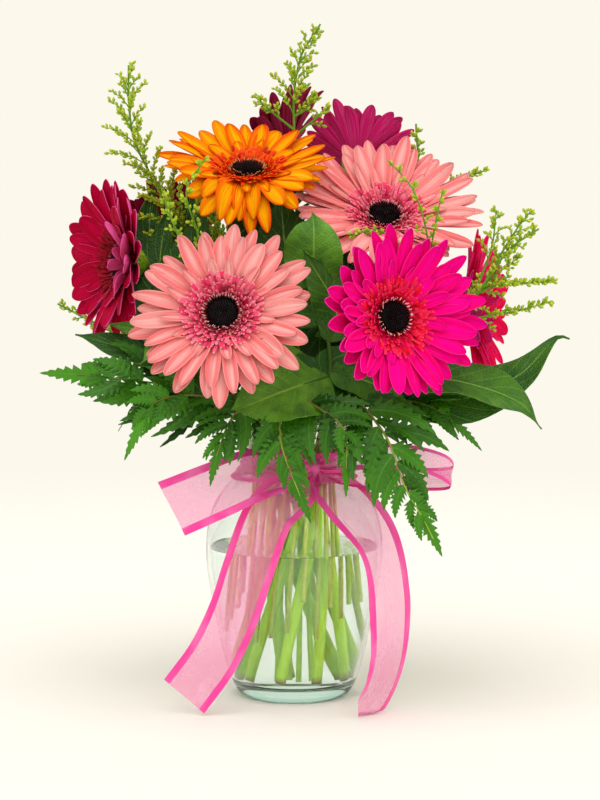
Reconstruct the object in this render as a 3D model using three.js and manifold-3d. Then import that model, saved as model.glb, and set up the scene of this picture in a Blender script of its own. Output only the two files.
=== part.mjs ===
// Nine gerberas with fern, salal and solidago in a flared glass vase that is tied with a ribbon.
// Millimetres, +Z up, -Y to the front, the origin at the centre of the vase's foot.
import * as THREE from "three";
import { mergeVertices } from "three/addons/utils/BufferGeometryUtils.js";
import Module from "manifold-3d";

const wasm = await Module();
wasm.setup();

// The glass vase: [radius, height] down its outside, and the wall inside it.
const VASE_OUTSIDE = [
  [37, 0], [42, 9], [50.4, 38], [55.6, 64], [59.8, 94], [59.2, 111],
  [53, 132], [40, 149], [34, 158], [36, 168], [44.5, 177], [60, 198.5],
];
const VASE_RIM = 200.5;
const RIM_RADIUS = 59.2;
const WALL = 3;
const FLOOR = 9;
const FLOOR_CORNER = 3;
const INSIDE_LEVELS = [195, 177, 167, 158, 148, 131, 100, 60, 24];
const ROUND_SIDES = 20;
const NECK = 157;

// Water, and how far every piece keeps from the one that it touches.
const GAP = 0.3;
const WATER_GAP = 0.4;
const WATER_TOP = 101;
const WATER_EDGE = 0.5;
const STRAIGHT_TO = 118;

// Stems: flower stems stand in a twisted ring, foliage stalks run outside of it and tall stalks inside it.
const STEM_RADIUS = 3.2;
const STEM_SIDES = 5;
const STEM_STEPS = 11;
const STEM_RING_NECK = 20;
const STEM_RING_FOOT = 33;
const STEM_TWIST = -95;
const STEM_FOOT = 14;
const STALK_RADIUS = 1.5;
const STALK_SIDES = 3;
const FROND_STALK_STEPS = 6;
const SPRAY_STEPS = 10;
const SPRAY_SIDE_STEPS = 4;
const STALK_RING_NECK = 26.8;
const STALK_RING_FOOT = 33;
const STALK_TWIST = -12;
const STALK_FOOT = 72;
const FLARE_RADIUS = 32.5;
const FLARE_HEIGHT = 177;
const OVER_RIM_RADIUS = 50;
const OVER_RIM_HEIGHT = 207;
const TALL_RING_NECK = 6;
const TALL_RING_FOOT = 9;
const TALL_TWIST = -30;

// A flower head, with the distances that all heads share.
const HUB_RADIUS = 12;
const PETAL_THICKNESS = 0.9;
const LAYER_STEP = 2;
const HUB_TOP = 2 * LAYER_STEP + PETAL_THICKNESS;
const CROWN_REACH = 22;
const EYE_RADIUS = 10.4;
const EYE_RISE = 7;
const EYE_FLOOR = HUB_TOP + 0.5;
const EYE_FLORETS = 8;
const CALYX_DEPTH = 13;
const CALYX_WAIST = 8.5;
const CALYX_WAIST_DEPTH = 8;
const CALYX_SIDES = 7;
const UPPER_LAYER_SCALE = 0.87;
const PETAL_VALLEY_AT = 0.32;
const FLORET_VALLEY_AT = 0.25;
const PETAL_RIDGE_AT = 0.55;
const PETAL_RIDGE_RISE = 0.8;
const PETAL_SHOULDER_AT = 0.8;
const PETAL_SHOULDER_HALF = 0.29;

// Ribbon, leaves and fronds.
const RIBBON_WIDTH = 38;
const RIBBON_THICKNESS = 0.9;
const RIBBON_WAVE = 2;
const BAND_CLEARANCE = 0.5;
const BAND_THICKNESS = 1.6;
const BAND_LEVELS = [150, 158, 167];
const KNOT_RADII = [9, 6, 8];
const KNOT_AT = [13, -37.6, 158.3];
const GATHERED = 0.3;
const BLADE_THICKNESS = 0.8;
const LEAF_STATIONS = 5;
const LEAF_FOLD = 0.16;
const LEAF_TIP = 0.09;
const ROOT_DEPTH = 1.2;
const LEAF_WAVE = 3;
const RIB_HALF = 1.5;
const RIB_TAPER = 0.8;
const LEAFLET_SWEEP = 0.55;
const LEAFLET_DROOP = 0.14;
const TWIG_STEPS = 8;
const TWIG_RADIUS = 1.1;
const BUD_RADIUS = 2.4;
const BUD_STEM_RADIUS = 0.7;
const BUDS_A_STRING = 2;
const BUD_ROOM = 0.8;
const STRING_SPREAD = 0.72;
const STRING_CLIMB = 0.7;
const GOLDEN_TURN = 2.4;

const rad = THREE.MathUtils.degToRad;
const vec = (x, y, z) => new THREE.Vector3(x, y, z);
const mix = THREE.MathUtils.lerp;
const vectors = (list) => list.map((p) => vec(...p));

// Repeatable random numbers from 0 to 1.
function seeded(seed) {
  let state = seed * 7919 + 17;
  return () => {
    state = (state * 48271) % 2147483647;
    return state / 2147483647;
  };
}

// Vertices and outward triangles that are turned into a geometry once the skin is closed.
class Skin {
  constructor() {
    this.points = [];
    this.corners = [];
  }

  point(x, y, z) {
    this.points.push(x, y, z);
    return this.points.length / 3 - 1;
  }

  face(a, b, c) {
    this.corners.push(a, b, c);
  }

  // Joins two rings of equal count, where ring b lies half a step on from ring a.
  stitch(a, b) {
    const count = a.length;
    for (let i = 0; i < count; i++) {
      const next = (i + 1) % count;
      this.face(a[i], a[next], b[i]);
      this.face(b[i], a[next], b[next]);
    }
  }

  fan(centre, ring, flip) {
    ring.forEach((corner, i) => {
      const next = ring[(i + 1) % ring.length];
      if (flip) this.face(centre, next, corner);
      else this.face(centre, corner, next);
    });
  }

  geometry() {
    const shape = new THREE.BufferGeometry();
    shape.setAttribute("position", new THREE.Float32BufferAttribute(this.points, 3));
    shape.setIndex(this.corners);
    return shape;
  }
}

// A closed geometry as a solid, and a solid as a geometry again.
function solidOf(geometry) {
  const bare = geometry.clone();
  bare.deleteAttribute("normal");
  bare.deleteAttribute("uv");
  const merged = mergeVertices(bare, 1e-4);
  return new wasm.Manifold(
    new wasm.Mesh({
      numProp: 3,
      vertProperties: merged.attributes.position.array,
      triVerts: new Uint32Array(merged.index.array),
    }),
  );
}

function geometryOf(solid) {
  const mesh = solid.getMesh();
  const shape = new THREE.BufferGeometry();
  shape.setAttribute("position", new THREE.BufferAttribute(mesh.vertProperties, 3));
  shape.setIndex(new THREE.BufferAttribute(mesh.triVerts, 1));
  return shape;
}

const fuse = (solids) => solids.reduce((whole, piece) => whole.add(piece));

// The bouquet and every solid in it so far, so that small repeats can keep clear of them.
const bouquet = new THREE.Group();
const standing = [];

function place(name, solid, colour, roughness) {
  const material = new THREE.MeshStandardMaterial({ color: colour, roughness, metalness: 0 });
  const mesh = new THREE.Mesh(geometryOf(solid), material);
  mesh.name = name;
  standing.push(solid);
  bouquet.add(mesh);
}

const isClear = (solid) => standing.every((other) => solid.intersect(other).isEmpty());

// A round rod of equal thickness along a smooth curve through the points.
function rod(points, radius, sides, steps) {
  const section = new THREE.Shape();
  for (let i = 0; i < sides; i++) {
    const turn = (2 * Math.PI * i) / sides;
    section[i ? "lineTo" : "moveTo"](radius * Math.cos(turn), radius * Math.sin(turn));
  }
  const path =
    points.length === 2
      ? new THREE.LineCurve3(...points)
      : new THREE.CatmullRomCurve3(points, false, "centripetal");
  return solidOf(new THREE.ExtrudeGeometry(section, { steps, extrudePath: path }));
}

// The point at a fraction of a rod's length, on the straight pieces that the rod is made of.
function onRod(points, steps, t) {
  const knots = new THREE.CatmullRomCurve3(points, false, "centripetal").getSpacedPoints(steps);
  const k = Math.min(steps - 1, Math.floor(t * steps));
  const at = knots[k].clone().lerp(knots[k + 1], t * steps - k);
  return { at, along: knots[k + 1].clone().sub(knots[k]).normalize() };
}

// A three-sided string of beads along a line: buds on their twig.
function beadString(from, to, beads, twig, bead) {
  const along = to.clone().sub(from);
  const side = along.clone().cross(vec(0.31, 0.87, 0.38)).normalize();
  const up = side.clone().cross(along).normalize();
  const skin = new Skin();
  const ring = (t, radius, turn) =>
    [0, 1, 2].map((i) => {
      const angle = (2 * Math.PI * (i + turn)) / 3;
      const p = from.clone().addScaledVector(along, t);
      p.addScaledVector(side, radius * Math.cos(angle)).addScaledVector(up, -radius * Math.sin(angle));
      return skin.point(p.x, p.y, p.z);
    });
  const first = ring(0, twig, 0);
  skin.face(first[0], first[2], first[1]);
  let last = first;
  for (let i = 0; i < beads; i++) {
    const middle = ring((i + 1) / (beads + 0.4), bead * (1 - 0.3 * (i / beads)), i + 0.5);
    const end = ring((i + 1.4) / (beads + 0.4), twig * 0.8, i + 1);
    skin.stitch(last, middle);
    skin.stitch(middle, end);
    last = end;
  }
  skin.face(last[0], last[1], last[2]);
  return solidOf(skin.geometry());
}

// A thin sheet through rows of points, thickened downwards from each row's face direction.
function sheet(rows, faces, thickness) {
  const skin = new Skin();
  const top = rows.map((row) => row.map((p) => skin.point(p.x, p.y, p.z)));
  const under = rows.map((row, i) =>
    row.map((p) => {
      const q = p.clone().addScaledVector(faces[i], -thickness);
      return skin.point(q.x, q.y, q.z);
    }),
  );
  const across = rows[0].length;
  const quad = (a, b, c, d) => {
    skin.face(a, b, c);
    skin.face(a, c, d);
  };
  for (let i = 0; i + 1 < rows.length; i++) {
    for (let j = 0; j + 1 < across; j++) {
      quad(top[i][j], top[i][j + 1], top[i + 1][j + 1], top[i + 1][j]);
      skin.face(under[i][j], under[i + 1][j + 1], under[i][j + 1]);
      skin.face(under[i][j], under[i + 1][j], under[i + 1][j + 1]);
    }
    quad(top[i][0], top[i + 1][0], under[i + 1][0], under[i][0]);
    const e = across - 1;
    quad(top[i + 1][e], top[i][e], under[i][e], under[i + 1][e]);
  }
  const z = rows.length - 1;
  for (let j = 0; j + 1 < across; j++) {
    quad(top[0][j + 1], top[0][j], under[0][j], under[0][j + 1]);
    quad(top[z][j], top[z][j + 1], under[z][j + 1], under[z][j]);
  }
  return solidOf(skin.geometry());
}

// Places along a centreline: the point, the direction across it to the right and the face direction.
function frames(points, face, count) {
  const curve = new THREE.CatmullRomCurve3(points, false, "centripetal");
  return Array.from({ length: count }, (_, i) => {
    const t = i / (count - 1);
    const along = curve.getTangentAt(t);
    const across = along.clone().cross(face).normalize();
    return { at: curve.getPointAt(t), along, across, out: across.clone().cross(along).normalize(), t };
  });
}

// A leaf with a waved edge and a folded midrib, from its base to its tip.
function leaf(points, face, width, wave) {
  const stations = frames(points, face, LEAF_STATIONS);
  const rows = stations.map(({ at, across, out, t }, i) => {
    const half = 0.5 * width * Math.max(LEAF_TIP, Math.pow(Math.sin(Math.PI * Math.pow(t, 0.75)), 0.85));
    const lift = LEAF_FOLD * half + (i % 2 ? wave : -wave) * (half / width);
    return [-1, 0, 1].map((s) =>
      at.clone().addScaledVector(across, s * half).addScaledVector(out, Math.abs(s) * lift),
    );
  });
  return sheet(rows, stations.map((s) => s.out), BLADE_THICKNESS);
}

// A fern frond cut to its rib into paired leaflets that sweep forward and shorten to the tip.
function frond(points, face, width, pairs) {
  const stations = frames(points, face, 2 * pairs + 1);
  const reach = stations[1].at.distanceTo(stations[0].at);
  const rows = stations.map(({ at, along, across, out, t }, i) => {
    const spread = 0.5 * width * (1.06 - t) * Math.min(1, 0.75 + 2 * t);
    const leaflet = i % 2 === 1;
    const half = leaflet ? spread : RIB_HALF - RIB_TAPER * t;
    const forward = leaflet ? Math.min(LEAFLET_SWEEP * spread, 0.85 * reach) : 0;
    const droop = leaflet ? -LEAFLET_DROOP * spread : 0;
    return [-1, 0, 1].map((s) =>
      at
        .clone()
        .addScaledVector(across, s * half)
        .addScaledVector(along, Math.abs(s) * forward)
        .addScaledVector(out, Math.abs(s) * droop),
    );
  });
  return sheet(rows, stations.map((s) => s.out), BLADE_THICKNESS);
}

// The vase's outer radius at a height, by straight lines between its measured points.
function outerRadius(height) {
  const k = VASE_OUTSIDE.findIndex(([, z]) => z >= height);
  if (k <= 0) return VASE_OUTSIDE[0][0];
  const [r0, z0] = VASE_OUTSIDE[k - 1];
  const [r1, z1] = VASE_OUTSIDE[k];
  return mix(r0, r1, (height - z0) / (z1 - z0));
}

function lathe(profile) {
  const points = profile.map(([r, z]) => new THREE.Vector2(r, z));
  const shape = new THREE.LatheGeometry(points, ROUND_SIDES);
  shape.rotateX(Math.PI / 2);
  shape.rotateZ(Math.PI);
  const solid = solidOf(shape);
  if (solid.volume() > 0) return solid;
  return lathe([...profile].reverse());
}

function vase() {
  const inside = INSIDE_LEVELS.map((z) => [outerRadius(z) - WALL, z]);
  const profile = [
    [0, 0],
    ...VASE_OUTSIDE,
    [RIM_RADIUS, VASE_RIM],
    ...inside,
    [outerRadius(FLOOR) - WALL - FLOOR_CORNER, FLOOR],
    [0, FLOOR],
  ];
  place("vase", lathe(profile), 0xd9ece6, 0.05);
}

// A point in the twisted ring of flower stems, and the straight run of a stem from foot to neck.
const around = (radius, degrees, z) =>
  vec(radius * Math.cos(rad(degrees)), radius * Math.sin(rad(degrees)), z);

function run(footRadius, neckRadius, slot, twist, footHeight) {
  const foot = around(footRadius, slot + twist, footHeight);
  const neck = around(neckRadius, slot, NECK);
  const bend = foot.clone().lerp(neck, (STRAIGHT_TO - footHeight) / (NECK - footHeight));
  return [foot, bend, neck];
}

const stemRun = (slot) => run(STEM_RING_FOOT, STEM_RING_NECK, slot, STEM_TWIST, STEM_FOOT);
const stalkRun = (slot) => run(STALK_RING_FOOT, STALK_RING_NECK, slot, STALK_TWIST, STALK_FOOT);
const tallRun = (slot) => run(TALL_RING_FOOT, TALL_RING_NECK, slot, TALL_TWIST, STEM_FOOT);

// Which way a head looks: 0 degrees is to the front, positive azimuth to the right, elevation up.
function facing(azimuth, elevation) {
  const level = Math.cos(rad(elevation));
  return vec(
    level * Math.sin(rad(azimuth)),
    -level * Math.cos(rad(azimuth)),
    Math.sin(rad(elevation)),
  );
}

// Heads: the place of the eye, the direction that it looks, the radius, how far the petals' tips rise
// from the hub's plane, how far they hang towards one side, and the stem's slot in the neck.
const HEADS = {
  pink_front: { at: [-46, -90, 266], azimuth: -8, elevation: 24, radius: 61, cup: 9, droop: 7,
    droopTo: 270, petals: 14, slot: 230, colour: 0xf98b86, eye: 0x2a0610 },
  magenta_front: { at: [65, -78, 262], azimuth: 28, elevation: 10, radius: 56, cup: 15, droop: -2,
    droopTo: 180, petals: 14, slot: 310, colour: 0xf5009a, eye: 0x18040c },
  orange_top: { at: [-31, 0, 356], azimuth: 0, elevation: 66, radius: 59, cup: 13, droop: 34,
    droopTo: 270, petals: 14, slot: 270, colour: 0xf98a10, eye: 0x3a1408 },
  pink_right: { at: [61, 2, 326], azimuth: 6, elevation: 50, radius: 66, cup: 17, droop: 4,
    droopTo: 270, petals: 14, slot: 30, colour: 0xf99a96, eye: 0x2a0610 },
  crimson_left: { at: [-117, -4, 294], azimuth: -60, elevation: 5, radius: 55, cup: 13, droop: 4,
    droopTo: 270, petals: 12, slot: 190, colour: 0xb0003a, eye: 0x1c040a },
  red_right: { at: [124, 30, 260], azimuth: 72, elevation: 5, radius: 54, cup: 12, droop: 4,
    droopTo: 270, petals: 11, slot: 350, colour: 0xd0104a, eye: 0x1c040a },
  wine_back: { at: [-13, 112, 372], azimuth: -115, elevation: 35, radius: 51, cup: 11, droop: 4,
    droopTo: 270, petals: 8, slot: 110, colour: 0x7a0a30, eye: 0x1c040a },
  magenta_back: { at: [46, 82, 364], azimuth: 165, elevation: 35, radius: 43, cup: 13, droop: 0,
    droopTo: 270, petals: 8, slot: 70, colour: 0xa8105c, eye: 0x1c040a },
  red_back: { at: [-89, 96, 302], azimuth: -140, elevation: 25, radius: 50, cup: 12, droop: 4,
    droopTo: 270, petals: 8, slot: 150, colour: 0x9a0a2c, eye: 0x1c040a },
};

// One ring of petals of a head: its under and upper faces, the wall round its outline, and the hub rings.
function petalRing(skin, layer, head) {
  const { count, offset, root, reach, base, tilt, pointed, random } = layer;
  const step = (2 * Math.PI) / count;
  const span = head.radius - HUB_RADIUS;
  const height = (radius, angle) => {
    const out = (radius - HUB_RADIUS) / span;
    const hang = Math.max(0, Math.cos(angle - rad(head.droopTo)));
    return base + tilt * out - head.droop * hang * out * out;
  };
  const faces = { under: [], over: [] };
  for (let i = 0; i < count; i++) {
    const valley = (i + offset) * step;
    const middle = valley + step * (0.5 + 0.1 * (random() - 0.5));
    const long = reach * (0.94 + 0.09 * random());
    const lift = pointed ? 0 : 2 * (random() - 0.5);
    for (const [name, rise] of [["under", 0], ["over", PETAL_THICKNESS]]) {
      const corner = (radius, angle, extra) =>
        skin.point(
          radius * Math.cos(angle),
          radius * Math.sin(angle),
          height(radius, angle) + rise + extra,
        );
      const petal = { ring: corner(root, valley, 0) };
      if (pointed) {
        petal.valley = corner(mix(root, reach, FLORET_VALLEY_AT), valley, 0);
        petal.tip = corner(long, middle, 0);
      } else {
        petal.valley = corner(mix(root, reach, PETAL_VALLEY_AT), valley, 0);
        petal.ridge = corner(mix(root, long, PETAL_RIDGE_AT), middle, PETAL_RIDGE_RISE + 0.5 * lift);
        const shoulder = mix(root, long, PETAL_SHOULDER_AT);
        petal.left = corner(shoulder, middle - PETAL_SHOULDER_HALF * step, lift);
        petal.tip = corner(long, middle, lift);
        petal.right = corner(shoulder, middle + PETAL_SHOULDER_HALF * step, lift);
      }
      faces[name].push(petal);
    }
  }
  for (const name of ["under", "over"]) {
    const face = (a, b, c) => (name === "over" ? skin.face(a, b, c) : skin.face(a, c, b));
    faces[name].forEach((p, i) => {
      const next = faces[name][(i + 1) % count];
      const crest = pointed ? p.tip : p.ridge;
      face(p.ring, p.valley, crest);
      face(p.ring, crest, next.ring);
      face(next.ring, crest, next.valley);
      if (pointed) return;
      face(p.valley, p.left, p.ridge);
      face(p.ridge, p.left, p.tip);
      face(p.ridge, p.tip, p.right);
      face(p.ridge, p.right, next.valley);
    });
  }
  const outline = (list) =>
    list.flatMap((p) => (pointed ? [p.valley, p.tip] : [p.valley, p.left, p.tip, p.right]));
  const low = outline(faces.under);
  const high = outline(faces.over);
  low.forEach((corner, i) => {
    const next = (i + 1) % low.length;
    skin.face(corner, low[next], high[next]);
    skin.face(corner, high[next], high[i]);
  });
  return { under: faces.under.map((p) => p.ring), over: faces.over.map((p) => p.ring) };
}

// The rays of a head as one closed skin: hub, two rows of petals and a crown of short florets.
function rays(head, seed) {
  const random = seeded(seed);
  const skin = new Skin();
  const count = head.petals;
  const common = { count, random, root: HUB_RADIUS };
  const lower = petalRing(skin, { ...common, offset: 0, reach: head.radius, base: 0, tilt: head.cup }, head);
  const upper = petalRing(
    skin,
    { ...common, offset: 0.5, reach: head.radius * UPPER_LAYER_SCALE, base: LAYER_STEP, tilt: head.cup + 4 },
    head,
  );
  const crown = petalRing(
    skin,
    { ...common, offset: 1, reach: CROWN_REACH, base: 2 * LAYER_STEP, tilt: head.cup + 12, pointed: true },
    head,
  );
  skin.fan(skin.point(0, 0, 0), lower.under, true);
  skin.stitch(lower.over, upper.under);
  skin.stitch(upper.over, crown.under);
  skin.fan(skin.point(0, 0, HUB_TOP), crown.over, false);
  return solidOf(skin.geometry());
}

// The dark eye of a head: a low dome of packed florets in staggered rings.
function eye() {
  const skin = new Skin();
  const ringAt = (radius, offset, z) =>
    Array.from({ length: EYE_FLORETS }, (_, i) => {
      const angle = (2 * Math.PI * (i + offset)) / EYE_FLORETS;
      const stud = i % 2 ? 0.5 : -0.2;
      return skin.point(radius * Math.cos(angle), radius * Math.sin(angle), z + stud);
    });
  const base = ringAt(EYE_RADIUS, 0, EYE_FLOOR);
  const shoulder = ringAt(EYE_RADIUS - 0.8, 0.5, EYE_FLOOR + 2);
  const inner = ringAt(EYE_RADIUS * 0.5, 1, EYE_FLOOR + 2.6);
  skin.fan(skin.point(0, 0, EYE_FLOOR), base, true);
  skin.stitch(base, shoulder);
  skin.stitch(shoulder, inner);
  skin.fan(skin.point(0, 0, EYE_FLOOR + 1.8), inner, false);
  return solidOf(skin.geometry());
}

// The green cup under a head, widening from the stem.
function calyx() {
  const top = -GAP;
  const profile = [
    [0, top - CALYX_DEPTH],
    [STEM_RADIUS + 0.4, top - CALYX_DEPTH],
    [CALYX_WAIST, top - CALYX_WAIST_DEPTH],
    [HUB_RADIUS - 1.4, top],
    [0, top],
  ];
  const points = profile.map(([r, z]) => new THREE.Vector2(r, z));
  const shape = new THREE.LatheGeometry(points, CALYX_SIDES);
  shape.rotateX(Math.PI / 2);
  return solidOf(shape);
}

const hubOf = (head) =>
  vec(...head.at).addScaledVector(facing(head.azimuth, head.elevation), -EYE_RISE);

function headMatrix(head) {
  const out = facing(head.azimuth, head.elevation);
  const up = vec(0, 0, 1).addScaledVector(out, -out.z).normalize();
  const right = up.clone().cross(out);
  return new THREE.Matrix4().makeBasis(right, up, out).setPosition(hubOf(head));
}

const moved = (solid, matrix) => solid.transform(matrix.elements);

// A head's stem: straight through the water and the neck, then one bend up into the calyx.
function stemPoints(head) {
  const out = facing(head.azimuth, head.elevation);
  const top = hubOf(head).addScaledVector(out, -CALYX_DEPTH);
  const [foot, bend, neck] = stemRun(head.slot);
  const rise = neck.clone().sub(foot).normalize();
  const length = neck.distanceTo(top);
  const curve = new THREE.CubicBezierCurve3(
    neck,
    neck.clone().addScaledVector(rise, 0.4 * length),
    top.clone().addScaledVector(out, -0.42 * length),
    top,
  );
  return [foot, bend, neck, ...[0.22, 0.42, 0.6, 0.78, 1].map((t) => curve.getPoint(t))];
}

function flowers() {
  Object.entries(HEADS).forEach(([name, head], i) => {
    const matrix = headMatrix(head);
    place("rays_" + name, moved(rays(head, i + 3), matrix), head.colour, 0.55);
    place("eye_" + name, moved(eye(), matrix), head.eye, 0.8);
    const stem = rod(stemPoints(head), STEM_RADIUS, STEM_SIDES, STEM_STEPS);
    const cup = moved(calyx(), matrix);
    place("stem_" + name, stem.add(cup), 0x86b83c, 0.45);
  });
}

// The stalk of a piece of foliage: out of the water, through the neck's outer ring and over the rim.
const overRim = (slot) => [
  ...stalkRun(slot),
  around(FLARE_RADIUS, slot, FLARE_HEIGHT),
  around(OVER_RIM_RADIUS, slot, OVER_RIM_HEIGHT),
];

// Salal twigs with their broad leaves. A leaf holds where on the twig it grows, the points that it runs
// through to its tip, the direction that its face looks and its width.
const SALAL = {
  salal_front: {
    slot: 292,
    twig: [[24, -45, 225], [20, -44, 256], [10, -44, 286]],
    leaves: [
      { at: 0.7, to: [[-4, -60, 216], [-40, -71, 203]], face: [0.15, -0.6, 0.8], width: 44 },
      { at: 0.8, to: [[28, -46, 262], [6, -56, 304]], face: [0.2, -0.95, 0.2], width: 30 },
      { at: 0.86, to: [[-4, -36, 276], [-24, -40, 306]], face: [-0.1, -0.95, 0.2], width: 34 },
      { at: 0.98, to: [[14, -42, 306], [20, -36, 330]], face: [-0.1, -0.95, 0.3], width: 36 },
      { at: 0.72, to: [[52, -50, 216], [76, -54, 206]], face: [0.1, -0.6, 0.8], width: 26 },
    ],
  },
  salal_left: {
    slot: 214,
    twig: [[-56, -36, 222], [-66, -41, 232]],
    leaves: [
      { at: 0.98, to: [[-84, -58, 240], [-100, -68, 231]], face: [-0.2, -0.6, 0.8], width: 30 },
      { at: 0.9, to: [[-92, -50, 248], [-120, -62, 256]], face: [0.1, -0.7, 0.7], width: 28 },
      { at: 0.94, to: [[-108, -22, 234], [-152, -16, 246]], face: [-0.2, -0.3, 0.9], width: 24 },
      { at: 0.84, to: [[-70, -26, 262], [-78, -34, 300]], face: [-0.4, -0.9, 0.1], width: 34 },
    ],
  },
  salal_right: {
    slot: 322,
    twig: [[54, -36, 217], [66, -37, 223]],
    leaves: [
      { at: 0.98, to: [[112, -40, 214], [162, -48, 188]], face: [0.1, -0.45, 0.9], width: 29 },
      { at: 0.86, to: [[110, -30, 204], [150, -26, 218], [184, -16, 243]],
        face: [-0.1, -0.6, 0.8], width: 27 },
    ],
  },
  salal_back_right: {
    slot: 22,
    twig: [[60, 27, 222], [72, 34, 233]],
    leaves: [
      { at: 0.98, to: [[98, 66, 238], [122, 88, 220]], face: [0.4, 0.3, 0.9], width: 34 },
      { at: 0.9, to: [[74, 72, 262], [84, 100, 292]], face: [0.5, 0.8, 0.1], width: 32 },
    ],
  },
  salal_back: {
    slot: 116,
    twig: [[-27, 54, 222], [-32, 64, 236]],
    leaves: [
      { at: 0.98, to: [[-24, 100, 244], [-14, 132, 226]], face: [0.1, 0.4, 0.9], width: 36 },
      { at: 0.94, to: [[10, 86, 262], [30, 98, 296]], face: [0.1, 0.9, 0.2], width: 32 },
      { at: 0.88, to: [[-74, 92, 226], [-108, 108, 206]], face: [-0.2, 0.4, 0.9], width: 32 },
    ],
  },
};

function salal() {
  for (const [name, plant] of Object.entries(SALAL)) {
    const path = [...overRim(plant.slot), ...vectors(plant.twig)];
    const twig = rod(path, STALK_RADIUS, STALK_SIDES, TWIG_STEPS);
    const leaves = plant.leaves.map(({ at, to, face, width }) => {
      const way = vectors(to);
      const root = onRod(path, TWIG_STEPS, at).at;
      root.addScaledVector(way[0].clone().sub(root).normalize(), -ROOT_DEPTH);
      return leaf([root, ...way], vec(...face).normalize(), width, LEAF_WAVE);
    });
    place(name, fuse([twig, ...leaves]), 0x2f6b24, 0.4);
  }
}

// Fern fronds: the slot of the stalk, the rib beyond the rim, the face direction and the width.
const FERNS = {
  fern_left: { slot: 188, rib: [[-60, -22, 208], [-112, -42, 214], [-164, -30, 219]],
    face: [0, -0.5, 0.87], width: 52, pairs: 7 },
  fern_left_low: { slot: 231, rib: [[-46, -56, 207], [-80, -69, 208], [-98, -73, 199], [-102, -70, 178]],
    face: [0, -0.8, 0.6], width: 46, pairs: 6 },
  fern_front_left: { slot: 245, rib: [[-30, -62, 206], [-46, -78, 190], [-56, -82, 160]],
    face: [-0.2, -0.95, 0.2], width: 44, pairs: 6 },
  fern_front: { slot: 261, rib: [[-9, -66, 205], [-8, -84, 178], [5, -88, 138]],
    face: [0, -0.95, 0.2], width: 42, pairs: 6 },
  fern_front_right: { slot: 277, rib: [[10, -68, 206], [30, -86, 190], [27, -92, 160]],
    face: [0, -0.9, 0.4], width: 40, pairs: 6 },
  fern_right_low: { slot: 307, rib: [[42, -62, 206], [58, -82, 180], [68, -90, 145], [94, -88, 106]],
    face: [0.2, -0.95, 0.2], width: 52, pairs: 7 },
  fern_right: { slot: 336, rib: [[66, -30, 205], [96, -42, 196], [121, -36, 174]],
    face: [0.2, -0.5, 0.85], width: 42, pairs: 6 },
  fern_back_right: { slot: 48, rib: [[46, 52, 206], [76, 84, 196], [96, 108, 158]],
    face: [0.4, 0.5, 0.75], width: 50, pairs: 5 },
  fern_back: { slot: 88, rib: [[2, 68, 206], [6, 108, 196], [10, 132, 156]],
    face: [0, 0.6, 0.8], width: 50, pairs: 5 },
  fern_back_left: { slot: 146, rib: [[-60, 42, 206], [-100, 70, 196], [-128, 84, 160]],
    face: [-0.4, 0.4, 0.8], width: 50, pairs: 5 },
};

function ferns() {
  for (const [name, fern] of Object.entries(FERNS)) {
    const rib = vectors(fern.rib);
    const path = [...overRim(fern.slot), rib[0]];
    const stalk = rod(path, STALK_RADIUS, STALK_SIDES, FROND_STALK_STEPS);
    rib[0] = rib[0].clone().addScaledVector(rib[1].clone().sub(rib[0]).normalize(), -ROOT_DEPTH);
    const blade = frond(rib, vec(...fern.face).normalize(), fern.width, fern.pairs);
    place(name, stalk.add(blade), 0x1f5a22, 0.45);
  }
}

// Solidago sprays: a main stalk through points, side stalks that leave it at a fraction of its length,
// and bud strings that spread from both to all sides, from a fraction of the main stalk upwards.
const SOLIDAGO = {
  solidago_left: {
    tall: 225,
    main: [[-14, 10, 210], [-56, 22, 290], [-90, 20, 338], [-104, 14, 382], [-110, 10, 410]],
    side: [],
    from: 0.68,
    strings: 7,
    reach: 36,
  },
  solidago_top: {
    tall: 135,
    main: [[0, 14, 210], [2, 40, 300], [2, 56, 370], [6, 55, 406], [14, 54, 440]],
    side: [],
    from: 0.8,
    strings: 6,
    reach: 34,
  },
  solidago_right: {
    slot: 349,
    main: [[60, -16, 222], [80, -30, 256], [98, -38, 292], [126, -34, 308], [152, -30, 318]],
    side: [
      { at: 0.66, to: [[118, -40, 280], [142, -38, 280], [160, -34, 280]] },
      { at: 0.6, to: [[88, -52, 300], [80, -54, 330], [68, -50, 360]] },
    ],
    from: 0.66,
    strings: 3,
    reach: 24,
  },
  solidago_back_right: {
    tall: 45,
    main: [[12, 14, 210], [48, 54, 280], [84, 58, 340], [84, 58, 388]],
    side: [{ at: 0.8, to: [[108, 42, 345], [131, 30, 354]] }],
    from: 0.82,
    strings: 2,
    reach: 20,
  },
  solidago_front_left: {
    slot: 201,
    main: [[-39, -18, 236], [-51, -38, 272], [-66, -55, 310], [-74, -57, 350]],
    side: [],
    from: 0.78,
    strings: 4,
    reach: 18,
  },
  solidago_low_left: {
    slot: 165,
    main: [[-68, 30, 218], [-96, 46, 228], [-130, 56, 244], [-164, 54, 262]],
    side: [],
    from: 0.72,
    strings: 4,
    reach: 24,
  },
  solidago_back: {
    tall: 315,
    main: [[-6, 14, 210], [-40, 52, 290], [-62, 64, 335], [-66, 68, 374]],
    side: [],
    from: 0.8,
    strings: 3,
    reach: 24,
  },
};

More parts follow.
